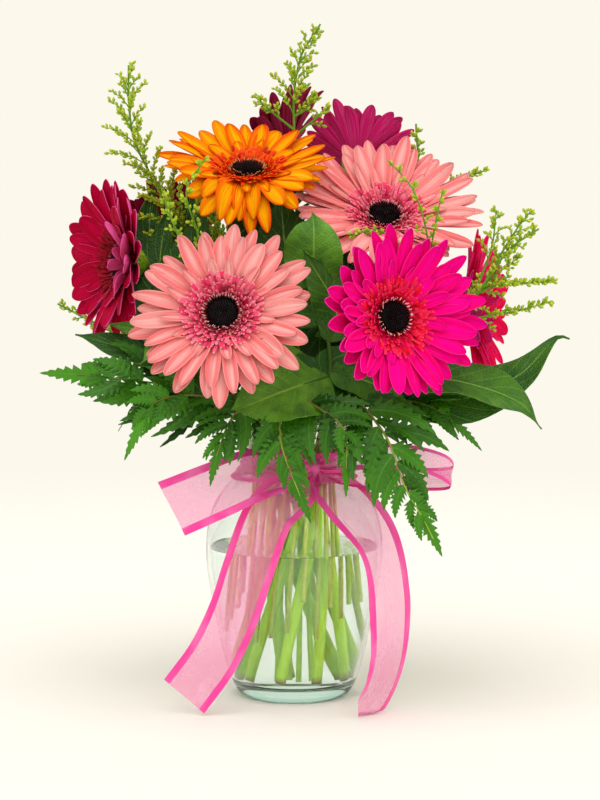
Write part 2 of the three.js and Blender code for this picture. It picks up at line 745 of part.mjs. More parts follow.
// A stalk's bud strings, turned from one to the next by the golden angle and shorter towards its tip.
function budTwigs({ path, steps, from }, count, longest, random) {
  const twigs = Array.from({ length: count }, (_, i) => {
    const { at, along } = onRod(path, steps, mix(from, 0.99, (i + 0.6) / count));
    const side = vec(Math.cos(GOLDEN_TURN * i), Math.sin(GOLDEN_TURN * i), 0.1);
    side.addScaledVector(along, -side.dot(along)).normalize();
    const reach = longest * (1.15 - 0.75 * ((i + 0.5) / count)) * (0.85 + 0.3 * random());
    const to = at.clone().addScaledVector(side, STRING_SPREAD * reach);
    to.addScaledVector(along, STRING_CLIMB * reach);
    return { from: at, to };
  });
  const { at, along } = onRod(path, steps, 0.985);
  return [...twigs, { from: at, to: at.clone().addScaledVector(along, 0.5 * longest) }];
}

function solidago() {
  Object.entries(SOLIDAGO).forEach(([name, spray], order) => {
    const random = seeded(order + 41);
    const stand = spray.slot === undefined ? tallRun(spray.tall) : overRim(spray.slot);
    const main = { path: [...stand, ...vectors(spray.main)], steps: SPRAY_STEPS, from: spray.from };
    const sides = spray.side.map(({ at, to }) => ({
      path: [onRod(main.path, main.steps, at).at, ...vectors(to)],
      steps: SPRAY_SIDE_STEPS,
      from: 0.35,
    }));
    const stalks = [main, ...sides];
    let whole = fuse(
      stalks.map(({ path, steps }, i) =>
        rod(path, i ? TWIG_RADIUS : STALK_RADIUS, STALK_SIDES, steps),
      ),
    );
    for (const { from, to } of stalks.flatMap((s) => budTwigs(s, spray.strings, spray.reach, random))) {
      const buds = (spare) =>
        beadString(from, to, BUDS_A_STRING, BUD_STEM_RADIUS + spare, BUD_RADIUS + spare);
      if (isClear(buds(BUD_ROOM))) whole = whole.add(buds(0));
    }
    place(name, whole, 0xb8bf3a, 0.7);
  });
}

// The ribbon: a band round the neck, a knot in front, three tails and a loop, as one tied piece.
// A strip is gathered to a third of its width at the knot and waves a little along its length.
function strip({ path, face, width, stations }) {
  const places = frames(vectors(path), vec(...face).normalize(), stations);
  const looped = path.length > 6;
  const rows = places.map(({ at, across, out, t }, i) => {
    const fromKnot = looped ? Math.min(t, 1 - t) : t;
    const half = 0.5 * width * Math.min(1, GATHERED + 3.2 * fromKnot);
    return [-1, 0, 1].map((s) =>
      at
        .clone()
        .addScaledVector(across, s * half)
        .addScaledVector(out, (s ? 0 : 1) * (i % 2 ? RIBBON_WAVE : -RIBBON_WAVE)),
    );
  });
  return sheet(rows, places.map((s) => s.out), RIBBON_THICKNESS);
}

const STRIPS = [
  { path: [[11, -41, 157], [0, -54, 144], [-16, -64, 120], [-34, -68, 92], [-52, -70, 52], [-72, -71, 16]],
    face: [-0.2, -1, 0.1], width: RIBBON_WIDTH, stations: 8 },
  { path: [[15, -41, 156], [30, -52, 136], [46, -58, 105], [58, -54, 70], [61, -60, 38], [47, -77, 11]],
    face: [0.45, -0.9, 0.1], width: RIBBON_WIDTH * 0.9, stations: 8 },
  { path: [[9, -41, 159], [-16, -58, 154], [-48, -65, 142], [-84, -63, 130]],
    face: [0, -1, 0.3], width: RIBBON_WIDTH, stations: 5 },
  { path: [[18, -41, 160], [46, -56, 168], [78, -54, 168], [100, -50, 160], [103, -46, 154], [78, -42, 152],
    [44, -44, 154], [19, -40, 156]], face: [0, -0.9, 0.45], width: RIBBON_WIDTH * 0.6, stations: 10 },
];

function ribbon() {
  const inner = BAND_LEVELS.map((z) => [outerRadius(z) + BAND_CLEARANCE, z]);
  const outer = inner.map(([r, z]) => [r + BAND_THICKNESS, z]).reverse();
  const knot = new THREE.SphereGeometry(1, 8, 5);
  knot.scale(...KNOT_RADII);
  knot.translate(...KNOT_AT);
  const [below, , above] = inner;
  const neckRoom = lathe([
    [0, below[1] - 10],
    [below[0], below[1] - 10],
    ...inner,
    [above[0], above[1] + 8],
    [0, above[1] + 8],
  ]);
  const band = lathe([...inner, ...outer, inner[0]]);
  place("ribbon_bow", fuse([band, solidOf(knot).subtract(neckRoom), ...STRIPS.map(strip)]), 0xee4fa6, 0.35);
}

// Water that fills the vase round the stems, each of which stands in a plain blind hole.
function water() {
  const wall = WALL + WATER_GAP;
  const profile = [
    [0, FLOOR + GAP],
    [outerRadius(FLOOR) - wall - FLOOR_CORNER, FLOOR + GAP],
    ...INSIDE_LEVELS.filter((z) => z < WATER_TOP).reverse().map((z) => [outerRadius(z) - wall, z]),
    [outerRadius(WATER_TOP) - wall - WATER_EDGE, WATER_TOP],
    [0, WATER_TOP],
  ];
  const hole = ([foot, bend], radius, sides) => {
    const down = foot.clone().sub(bend).normalize();
    const end = foot.clone().addScaledVector(down, GAP);
    return rod([end, bend], (radius + WATER_GAP) / Math.cos(Math.PI / sides), sides, 1);
  };
  const foliage = [...Object.values(SALAL), ...Object.values(FERNS), ...Object.values(SOLIDAGO)];
  const holes = [
    ...Object.values(HEADS).map(({ slot }) => hole(stemRun(slot), STEM_RADIUS, 6)),
    ...foliage.map(({ slot, tall }) =>
      hole(slot === undefined ? tallRun(tall) : stalkRun(slot), STALK_RADIUS, 4),
    ),
  ];
  place("water", holes.reduce((body, cut) => body.subtract(cut), lathe(profile)), 0xdfeeea, 0.05);
}

vase();
flowers();
ribbon();
salal();
ferns();
solidago();
water();

export default bouquet;
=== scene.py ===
# Nine gerberas with fern, salal and solidago in a flared glass vase that is tied with a ribbon.
# The frame is in metres, +Z up and -Y to the front; the shapes are worked out in millimetres.

import math

import bpy
import numpy as np
from bpy.props import FloatProperty, FloatVectorProperty, IntProperty, PointerProperty
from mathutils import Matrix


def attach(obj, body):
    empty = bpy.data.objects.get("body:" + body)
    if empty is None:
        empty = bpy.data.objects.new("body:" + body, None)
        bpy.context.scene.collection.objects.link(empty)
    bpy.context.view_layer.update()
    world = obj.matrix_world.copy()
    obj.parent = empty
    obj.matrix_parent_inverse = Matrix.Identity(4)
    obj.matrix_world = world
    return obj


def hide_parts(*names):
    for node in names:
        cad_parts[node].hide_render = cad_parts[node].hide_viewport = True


bl_info = {
    "name": "Gerberas in a vase",
    "version": (1, 0, 0),
    "blender": (4, 5, 0),
    "location": "View3D > Sidebar > Bouquet",
    "description": "Builds gerberas, foliage, ribbon and a water-filled glass vase round their packed model",
    "category": "Add Mesh",
}

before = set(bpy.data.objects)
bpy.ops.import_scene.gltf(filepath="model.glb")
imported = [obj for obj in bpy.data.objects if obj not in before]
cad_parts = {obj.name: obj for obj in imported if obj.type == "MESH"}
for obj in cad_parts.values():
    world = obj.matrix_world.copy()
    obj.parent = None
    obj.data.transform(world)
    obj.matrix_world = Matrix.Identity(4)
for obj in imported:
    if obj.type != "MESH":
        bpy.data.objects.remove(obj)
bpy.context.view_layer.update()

MM = 0.001
BODY = "root"

# The vase in millimetres: where its round lip starts and ends, the radius and height of points up its
# outside, the round of the inner corner over the foot, the height of the neck's narrowest place and how far
# up the flower stems run straight.
LIP_AT = 198.5
VASE_RIM = 200.5
VASE_OUTSIDE = np.array([
    (37, 0), (42, 9), (50.4, 38), (55.6, 64), (59.8, 94), (59.2, 111),
    (53, 132), (40, 149), (34, 158), (36, 168), (44.5, 177), (60, LIP_AT),
], float)
CORNER = 5
NECK = 157
STRAIGHT_TO = 118

# Stems: flower stems stand in a twisted ring, foliage stalks run outside of it, tall stalks inside it. Each
# ring has its radius at the foot and at the neck, the turn between them in degrees and the height of the
# foot. Above LEAVES_FROM a solidago stalk bears narrow leaves.
STEM_RUN = {"foot": 33, "neck": 20, "twist": -95, "height": 14}
STALK_RUN = {"foot": 33, "neck": 26.8, "twist": -12, "height": 72}
TALL_RUN = {"foot": 9, "neck": 6, "twist": -30, "height": 14}
STALK_RADIUS = 1.5
LEAVES_FROM = 208

# Thicknesses of what has no setting of its own.
FLORET_THICKNESS = 0.35
BRACT_THICKNESS = 0.4
FERN_THICKNESS = 0.45
NARROW_LEAF_THICKNESS = 0.35
RIBBON_THICKNESS = 0.25

# What all heads share: the radius of the hub and of the eye, the eye's place over the hub, the height of its
# floor and the depth of the green cup. Buds, branchlets and narrow leaves are set round by the golden turn.
HUB_RADIUS = 12
EYE_RADIUS = 10.4
EYE_RISE = 7
EYE_FLOOR = 5.4
CALYX_DEPTH = 13
GOLDEN_TURN = math.pi * (3 - math.sqrt(5))

# The eye's dome as radius and height over its floor, and how many styles stand round it.
EYE_PROFILE = np.array([(0, 1.3), (3, 1.9), (6, 2.5), (8, 2.3), (9.6, 1.3), (EYE_RADIUS, 0.1)])
STYLES = 54

# Rings of small florets from the eye outwards: number, radius, length, lean in degrees, width, height over
# the bowl and tone, which is low near the eye to paint its shade there.
FLORET_RINGS = (
    (44, 10.8, 4.0, 78, 1.6, 3.2, 0.1), (50, 12.4, 4.6, 70, 1.9, 3.2, 0.3),
    (56, 14.2, 5.2, 60, 2.0, 3.4, 0.5), (62, 16.2, 5.6, 50, 2.1, 3.6, 0.62),
    (68, 18.4, 6.0, 40, 2.1, 3.8, 0.7), (72, 20.6, 6.4, 28, 2.2, 4.0, 0.65),
)

# The green cup as height and radius, measured from the hub, and its rows of bracts: number, height of the
# roots and of the tips.
CUP_PROFILE = np.array([(-13.4, 3.0), (-13, 3.5), (-10.5, 5.6), (-8, 8.4), (-4, 10.2), (-1.2, 11.0),
                        (-0.6, 10.4)])
BRACT_ROWS = ((15, -12.4, -3.5), (17, -10.5, -0.4), (18, -8, 1.2))

# Heads: the place of the eye, the azimuth and elevation that it looks to, the radius, how far the petal
# tips rise from the hub's plane and hang towards one side, the petals in a row and their width, and the
# stem's slot in the neck. Where a head has them, `narrow` is the power by which the hang falls off to the
# sides, `spooned` the side where the petals are channelled and `closes` the side from which they turn up
# over the eye.
HEADS = {
    "pink_front": dict(at=(-46, -90, 266), faces=(-8, 24), radius=61, cup=9, droop=7, droop_to=270,
                       petals=23, width=11, slot=230, kind="salmon"),
    "magenta_front": dict(at=(65, -78, 262), faces=(28, 10), radius=56, cup=15, droop=-2, droop_to=180,
                          petals=26, width=10.4, slot=310, kind="magenta", spooned=185),
    "orange_top": dict(at=(-31, 0, 356), faces=(0, 66), radius=59, cup=13, droop=34, droop_to=270,
                       narrow=5, petals=22, width=11.4, slot=270, kind="orange"),
    "pink_right": dict(at=(61, 2, 326), faces=(6, 50), radius=66, cup=17, droop=4, droop_to=270,
                       petals=24, width=11.2, slot=30, kind="salmon"),
    "crimson_left": dict(at=(-117, -4, 294), faces=(-60, 5), radius=55, cup=13, droop=4, droop_to=270,
                         petals=22, width=14, slot=190, kind="crimson", closes=0),
    "red_right": dict(at=(124, 30, 260), faces=(72, 5), radius=54, cup=12, droop=4, droop_to=270,
                      petals=21, width=10.8, slot=350, kind="rose_red", closes=180),
    "wine_back": dict(at=(-13, 112, 372), faces=(-115, 35), radius=51, cup=11, droop=4, droop_to=270,
                      petals=20, width=10.5, slot=110, kind="wine"),
    "magenta_back": dict(at=(46, 82, 364), faces=(165, 35), radius=43, cup=13, droop=0, droop_to=270,
                         petals=22, width=8.6, slot=70, kind="dark_magenta"),
    "red_back": dict(at=(-89, 96, 302), faces=(-140, 25), radius=50, cup=12, droop=4, droop_to=270,
                     petals=20, width=10.5, slot=150, kind="deep_red"),
}

# Colours of a kind of head: the record's slot, then petal root, body, pale middle, which is partly the
# petal's own colour and partly a painted highlight, tip, edge, a painted highlight except on the orange kind,
# where it is a red-orange like its tip, with the place where it starts, and under side, then the deep root,
# body, tip and styles of the small florets, and for some kinds where along a petal its heart ends, where its
# tip begins and how strong its streaks are.
KINDS = {
    "salmon": dict(slot="petal_salmon", root="#E4485E", body="#FC8082", pale="#FFBEBA", tip="#FA8C88",
                   edge="#FFCAC4", rim=0.88, under="#F09494", deep="#900828", floret="#EC3A68",
                   floret_tip="#FFA8B8", style="#F2C0B8"),
    "magenta": dict(slot="petal_hot_magenta", root="#F40028", body="#FA0078", pale="#FF009C", tip="#FF00A4",
                    edge="#FF20A8", rim=0.9, under="#FA38AC", deep="#A80014", floret="#F20034",
                    floret_tip="#FF4478", style="#FFD0C8", heart=0.42, streaks=0.3),
    "orange": dict(slot="petal_orange", root="#F88C00", body="#FC9A00", pale="#FFB800", tip="#E83C00",
                   edge="#EA3E00", rim=0.45, under="#EE7808", deep="#8A1400", floret="#EC2800",
                   floret_tip="#FF7408", style="#E0A468", fades=0.5, streaks=0.75),
    # The crimson kind's bright pink under side is partly its own paler colour and partly painted light that
    # lifts it out of its shade.
    "crimson": dict(slot="petal_crimson", root="#74000C", body="#B0002C", pale="#C40040", tip="#C4004C",
                    edge="#C80850", rim=0.94, under="#FF6CBE", deep="#3C0006", floret="#8C0014",
                    floret_tip="#B00C34", style="#A83850", streaks=0.3),
    "deep_red": dict(slot="petal_crimson", root="#50000C", body="#8C0024", pale="#A00034", tip="#A00438",
                     edge="#B81C50", rim=0.86, under="#6E0820", deep="#3C0006", floret="#780014",
                     floret_tip="#B01438", style="#D88090"),
    "rose_red": dict(slot="petal_rose_red", root="#B00018", body="#E80044", pale="#FC0060", tip="#FF0078",
                     edge="#FF3C9C", rim=0.9, under="#FF2C98", deep="#500008", floret="#A8001C",
                     floret_tip="#E02048", style="#E890A0"),
    "wine": dict(slot="petal_wine", root="#3C0210", body="#8A0630", pale="#98083A", tip="#A00C40",
                 edge="#B42454", rim=0.86, under="#90143E", deep="#240004", floret="#5C0414",
                 floret_tip="#981838", style="#C87888"),
    "dark_magenta": dict(slot="petal_dark_magenta", root="#74002C", body="#C40850", pale="#DC1464",
                         tip="#E01478", edge="#F878B0", rim=0.88, under="#DC1874", deep="#340010",
                         floret="#74002C", floret_tip="#B41858", style="#D888A0"),
}

# Salal twigs: the slot, the twig beyond the rim, and for each leaf where on the twig it grows, the points
# that it runs through to its tip, the direction that its face looks, its width and its tone, which paints how
# much light falls on it.
SALAL = {
    "salal_front": dict(slot=292, twig=[(24, -45, 225), (20, -44, 256), (10, -44, 286)], leaves=[
        (0.7, [(-4, -60, 213), (-42, -71, 199)], (0.12, -0.75, 0.65), 58, 0.7),
        (0.66, [(30, -44, 220), (42, -58, 196)], (0.1, -0.85, 0.4), 42, 0.15),
        (0.66, [(4, -50, 214), (-4, -62, 190)], (0, -0.85, 0.4), 40, 0.1),
        (0.8, [(28, -46, 262), (6, -56, 304)], (0.2, -0.95, 0.2), 32, 0.3),
        (0.86, [(-4, -36, 276), (-24, -40, 306)], (-0.1, -0.95, 0.2), 36, 0.3),
        (0.96, [(13, -50, 303), (13, -49, 318), (12, -38, 328)], (-0.1, -0.95, 0.3), 39, 0.62),
        (0.98, [(-4, -22, 300), (-9, -4, 338)], (0, -0.95, 0.3), 46, 0.1),
        (0.98, [(-10, -2, 298), (-17, 16, 326), (-19, 22, 346)], (0, -0.95, 0.3), 32, 0.1),
        (0.98, [(-18, -4, 292), (-34, 16, 318), (-40, 22, 342)], (0, -0.95, 0.3), 46, 0.1),
        (0.72, [(52, -50, 216), (76, -54, 204)], (0.1, -0.7, 0.7), 36, 0.4),
        (0.7, [(36, -22, 238), (36, -24, 276)], (0.2, -0.95, 0.3), 48, 0.15),
        (0.64, [(4, -24, 234), (-2, -20, 286)], (0, -1, 0.2), 48, 0.1),
        (0.82, [(32, -20, 268), (38, -12, 311)], (0.1, -0.9, 0.3), 46, 0.15)]),
    "salal_left": dict(slot=214, twig=[(-56, -36, 222), (-66, -41, 232)], leaves=[
        (0.98, [(-84, -58, 240), (-100, -68, 231)], (-0.2, -0.6, 0.8), 32, 0.6),
        (0.9, [(-92, -50, 248), (-120, -62, 256)], (0.1, -0.7, 0.7), 30, 0.4),
        (0.94, [(-108, -22, 236), (-146, -16, 246)], (-0.2, -0.6, 0.8), 30, 0.1),
        (0.84, [(-70, -20, 262), (-78, -20, 298)], (-0.4, -0.9, 0.1), 36, 0.4),
        (0.88, [(-84, -14, 262), (-90, 4, 296), (-84, 12, 332)], (-0.2, -0.95, 0.2), 44, 0.15),
        (0.9, [(-70, -16, 272), (-66, 2, 304), (-60, 8, 336)], (0, -0.95, 0.3), 46, 0.1),
        (0.92, [(-82, 4, 276), (-98, 26, 312), (-96, 34, 348)], (-0.1, -0.95, 0.2), 46, 0.1),
        (0.86, [(-72, 0, 276), (-74, 26, 316), (-68, 36, 350)], (0, -0.95, 0.3), 44, 0.1),
        (0.82, [(-46, -14, 262), (-36, -6, 292), (-26, 0, 326)], (0.1, -0.95, 0.3), 46, 0.1),
        (0.8, [(-52, -30, 232), (-34, -34, 262)], (0, -1, 0.2), 44, 0.1),
        (0.8, [(-62, -46, 216), (-84, -58, 200)], (-0.1, -0.8, 0.5), 38, 0.15)]),
    "salal_right": dict(slot=322, twig=[(54, -36, 217), (66, -37, 223)], leaves=[
        (0.98, [(112, -40, 216), (150, -46, 202), (163, -48, 186)], (0.1, -0.6, 0.8), 38, 0.4),
        (0.86, [(110, -30, 204), (150, -26, 220), (176, -18, 244), (184, -16, 243)],
         (-0.1, -0.9, 0.45), 36, 0.3),
        (0.94, [(82, -20, 236), (96, -12, 262)], (0.2, -0.95, 0.2), 42, 0.15)]),
    "salal_back_right": dict(slot=22, twig=[(60, 27, 222), (72, 34, 233)], leaves=[
        (0.98, [(98, 66, 238), (122, 88, 220)], (0.4, 0.3, 0.9), 38, 0.5),
        (0.9, [(74, 72, 262), (84, 100, 292)], (0.5, 0.8, 0.1), 38, 0.6),
        (0.92, [(96, 24, 250), (112, 30, 280)], (0.9, 0.1, 0.3), 38, 0.4)]),
    "salal_back": dict(slot=116, twig=[(-27, 54, 222), (-32, 64, 236)], leaves=[
        (0.98, [(-24, 100, 244), (-14, 132, 226)], (0.1, 0.4, 0.9), 38, 0.6),
        (0.94, [(10, 86, 262), (30, 98, 296)], (0.1, 0.9, 0.2), 40, 0.4),
        (0.88, [(-74, 92, 226), (-108, 108, 206)], (-0.2, 0.4, 0.9), 34, 0.5),
        (0.96, [(-40, 84, 268), (-34, 88, 304)], (-0.1, 0.95, 0.2), 44, 0.3),
        (0.9, [(-4, 70, 244), (6, 74, 282)], (0, 1, 0.1), 44, 0.2)]),
}

# Fern fronds: the slot of the stalk, the rib beyond the rim, the face direction, the width and the number
# of leaflet pairs.
FERNS = {
    "fern_left": (188, [(-60, -22, 210), (-104, -40, 217), (-144, -34, 221)], (0, -0.85, 0.5), 74, 8),
    "fern_left_low": (231, [(-46, -56, 207), (-76, -68, 210), (-92, -72, 204), (-98, -71, 189)],
                      (0, -0.9, 0.4), 60, 7),
    "fern_front_left": (245, [(-30, -62, 206), (-42, -76, 193), (-50, -80, 172)], (-0.2, -0.95, 0.2), 52, 6),
    "fern_front": (261, [(-9, -66, 205), (-8, -84, 180), (4, -88, 147)], (0, -0.95, 0.2), 50, 7),
    "fern_front_right": (277, [(10, -68, 206), (32, -86, 190), (34, -92, 165)], (0, -0.9, 0.4), 52, 6),
    "fern_right_low": (307, [(42, -62, 206), (53, -78, 194), (61, -84, 182), (72, -90, 152), (83, -90, 133),
                             (90, -89, 119)], (0.2, -0.95, 0.2), 68, 9),
    "fern_right": (336, [(66, -30, 205), (92, -40, 199), (110, -38, 186)], (0.2, -0.6, 0.75), 54, 7),
    "fern_back_right": (48, [(46, 52, 206), (76, 84, 198), (92, 104, 178)], (0.4, 0.5, 0.75), 54, 9),
    "fern_back": (88, [(2, 68, 206), (6, 108, 196), (10, 132, 156)], (0, 0.6, 0.8), 54, 9),
    "fern_back_left": (146, [(-60, 42, 206), (-96, 70, 198), (-116, 82, 184)], (-0.4, 0.4, 0.8), 54, 9),
}

# Solidago sprays: the slot of an outer or a tall stalk, the main stalk, the part of it from which branchlets
# grow, their number and their reach, and side stalks with where they leave it, their own number and reach.
SOLIDAGO = {
    "solidago_left": dict(tall=225, main=[(-14, 10, 210), (-56, 22, 290), (-89, 22, 336), (-99, 21, 355),
                                          (-108, 14, 376), (-111, 12, 400), (-111, 12, 425)],
                          start=0.58, count=54, reach=54),
    "solidago_top": dict(tall=135, main=[(0, 14, 210), (2, 40, 300), (0, 54, 380), (0, 54, 407), (5, 54, 433),
                                         (12, 54, 445), (18, 54, 454)], start=0.84, count=22, reach=26,
                         side=[(0.83, 7, 11, [(-14, 52, 393), (-26, 50, 404)]),
                               (0.85, 5, 9, [(8, 52, 396), (15, 50, 405)]),
                               (0.82, 5, 9, [(13, 50, 388), (24, 48, 397)])]),
    "solidago_right": dict(slot=349, main=[(60, -16, 222), (92, -28, 250), (122, -36, 277), (142, -38, 304),
                                           (161, -36, 317)], start=0.74, count=18, reach=20,
                           side=[(0.8, 10, 14, [(130, -37, 305), (133, -36, 329)]),
                                 (0.84, 11, 14, [(143, -38, 312), (155, -36, 328)]),
                                 (0.8, 8, 13, [(134, -36, 288), (148, -36, 298)]),
                                 (0.74, 20, 16, [(126, -35, 277), (148, -35, 281), (171, -34, 282)]),
                                 (0.7, 14, 12, [(126, -34, 259), (148, -34, 263), (169, -34, 269)]),
                                 (0.62, 12, 12, [(88, -50, 298), (84, -57, 325), (76, -58, 345),
                                                 (61, -54, 362)]),
                                 (0.62, 12, 10, [(88, -48, 296), (93, -54, 326), (97, -54, 343)]),
                                 (0.6, 14, 9, [(74, -46, 298), (57, -56, 316), (36, -54, 314)])]),
    "solidago_back_right": dict(tall=45, main=[(12, 14, 210), (48, 54, 280), (84, 58, 340), (84, 58, 386)],
                                start=0.8, count=22, reach=14,
                                side=[(0.8, 20, 14, [(108, 42, 345), (129, 30, 354)])]),
    "solidago_front_left": dict(slot=201, main=[(-39, -18, 236), (-56, -38, 276), (-76, -52, 315),
                                                (-86, -50, 343)], start=0.66, count=24, reach=14,
                                side=[(0.7, 14, 11, [(-64, -46, 318), (-70, -50, 342), (-57, -48, 364)])]),
    "solidago_low_left": dict(slot=165, main=[(-68, 30, 218), (-96, 46, 228), (-130, 56, 244),
                                              (-164, 54, 262)], start=0.66, count=22, reach=22),
    "solidago_back": dict(tall=315, main=[(-6, 14, 210), (-40, 52, 290), (-62, 64, 335), (-66, 68, 374)],
                          start=0.72, count=30, reach=28),
}

# Ribbon strips: the points that the middle runs through, the face direction, the share of the ribbon's
# width that shows, how far the cut end slants, over how many millimetres it opens out of the knot, and how
# many degrees it twists towards its end. One that opens over 0 is a loop with both ends in the knot.
STRIPS = {
    "ribbon_tail_left": ([(11, -41, 157), (0, -54, 146), (-15, -61, 133), (-30, -67, 96), (-40, -69, 66),
                          (-53, -70, 38), (-72, -71, 12)], (-0.2, -1, 0.1), 0.84, -0.05, 11, 0),
    "ribbon_tail_right": ([(15, -41, 156), (33, -54, 141), (54, -59, 114), (63, -61, 78), (63, -66, 40),
                           (54, -75, 16), (42, -82, 2)], (0.62, -0.78, 0.1), 0.93, -0.3, 11, 44),
    "ribbon_tail_upper": ([(9, -41, 159), (-22, -58, 158), (-50, -65, 148), (-80, -63, 135)],
                          (0, -1, 0.3), 0.98, 0.1, 24, 0),
    "ribbon_loop": ([(18, -41, 160), (46, -56, 168), (78, -54, 168), (100, -50, 160), (103, -46, 154),
                     (78, -42, 152), (44, -44, 154), (19, -40, 156)], (0, -0.9, 0.45), 0.42, 0, 0, 0),
}

# The knot's middle and its half sizes, the heights between which the band lies, how far it stays off the
# glass, its turns round the neck and the share of the ribbon's width in it.
KNOT_AT = (13, -37.6, 158.3)
KNOT_RADII = (9, 6, 8)
BAND_BOTTOM = 149
BAND_TOP = 168
BAND_CLEARANCE = 0.7
BAND_TURNS = 1.02

# The photograph's camera, in metres, millimetres and degrees.
CAMERA_AT = (0.004, -1.8, 0.38)
CAMERA_LENS = 120.6
CAMERA_SENSOR = 36
CAMERA_DOWN = 5.7


def linear(colour):
    """sRGB hex to linear RGBA: c / 12.92 up to 0.04045, else ((c + 0.055) / 1.055) to the power 2.4."""
    parts = [int(colour[i:i + 2], 16) / 255 for i in (1, 3, 5)]
    return tuple(c / 12.92 if c <= 0.04045 else ((c + 0.055) / 1.055) ** 2.4 for c in parts) + (1.0,)


def unit(v):
    """Each vector over its own length."""
    return v / np.maximum(np.linalg.norm(v, axis=-1, keepdims=True), 1e-9)


def square_to(v, along):
    """Each vector less its part along a unit vector, made a unit vector again."""
    return unit(v - along * (v * along).sum(-1, keepdims=True))


def read(at, steps, values):
    """The rows of values[step, axis] at places between the steps, on straight lines from row to row."""
    return np.stack([np.interp(at, steps, column) for column in values.T], -1)


def turned(radius, angle, height):
    """Points at a radius, an angle from +X and a height, each of them a number or an array."""
    return np.stack(np.broadcast_arrays(radius * np.cos(angle), radius * np.sin(angle), height), -1)


def swung(out, aside, angle):
    """x and y of what lies `out` along a direction at an angle from +X and `aside` to its left."""
    return out * np.cos(angle) - aside * np.sin(angle), out * np.sin(angle) + aside * np.cos(angle)


def spline(points, count):
    """Centripetal Catmull-Rom curve: between two points a cubic whose end slopes come from their neighbours,
    read at `count` places evenly spaced along its length."""
    p = np.asarray(points, float)
    p = np.vstack([2 * p[0] - p[1], p, 2 * p[-1] - p[-2]])
    gap = np.sqrt(np.linalg.norm(np.diff(p, axis=0), axis=1))[:, None]
    before, start, end, after = p[:-3], p[1:-2], p[2:-1], p[3:]
    d0, d1, d2 = gap[:-2], gap[1:-1], gap[2:]
    leave = d1 * ((start - before) / d0 - (end - before) / (d0 + d1) + (end - start) / d1)
    reach = d1 * ((end - start) / d1 - (after - start) / (d1 + d2) + (after - end) / d2)
    t = np.linspace(0, 1, 20, endpoint=False)[None, :, None]
    curve = ((2 * t**3 - 3 * t**2 + 1) * start[:, None] + (t**3 - 2 * t**2 + t) * leave[:, None]
             + (3 * t**2 - 2 * t**3) * end[:, None] + (t**3 - t**2) * reach[:, None]).reshape(-1, p.shape[1])
    curve = np.vstack([curve, p[-2]])
    length = np.concatenate([[0], np.cumsum(np.linalg.norm(np.diff(curve, axis=0), axis=1))])
    return read(np.linspace(0, length[-1], count), length, curve)


def rails(line, face):
    """Directions along a line, across it to the right and out of its face, which looks towards `face`."""
    along = unit(np.gradient(line, axis=-2))
    across = unit(np.cross(along, np.broadcast_to(face, along.shape)))
    return along, across, np.cross(across, along)


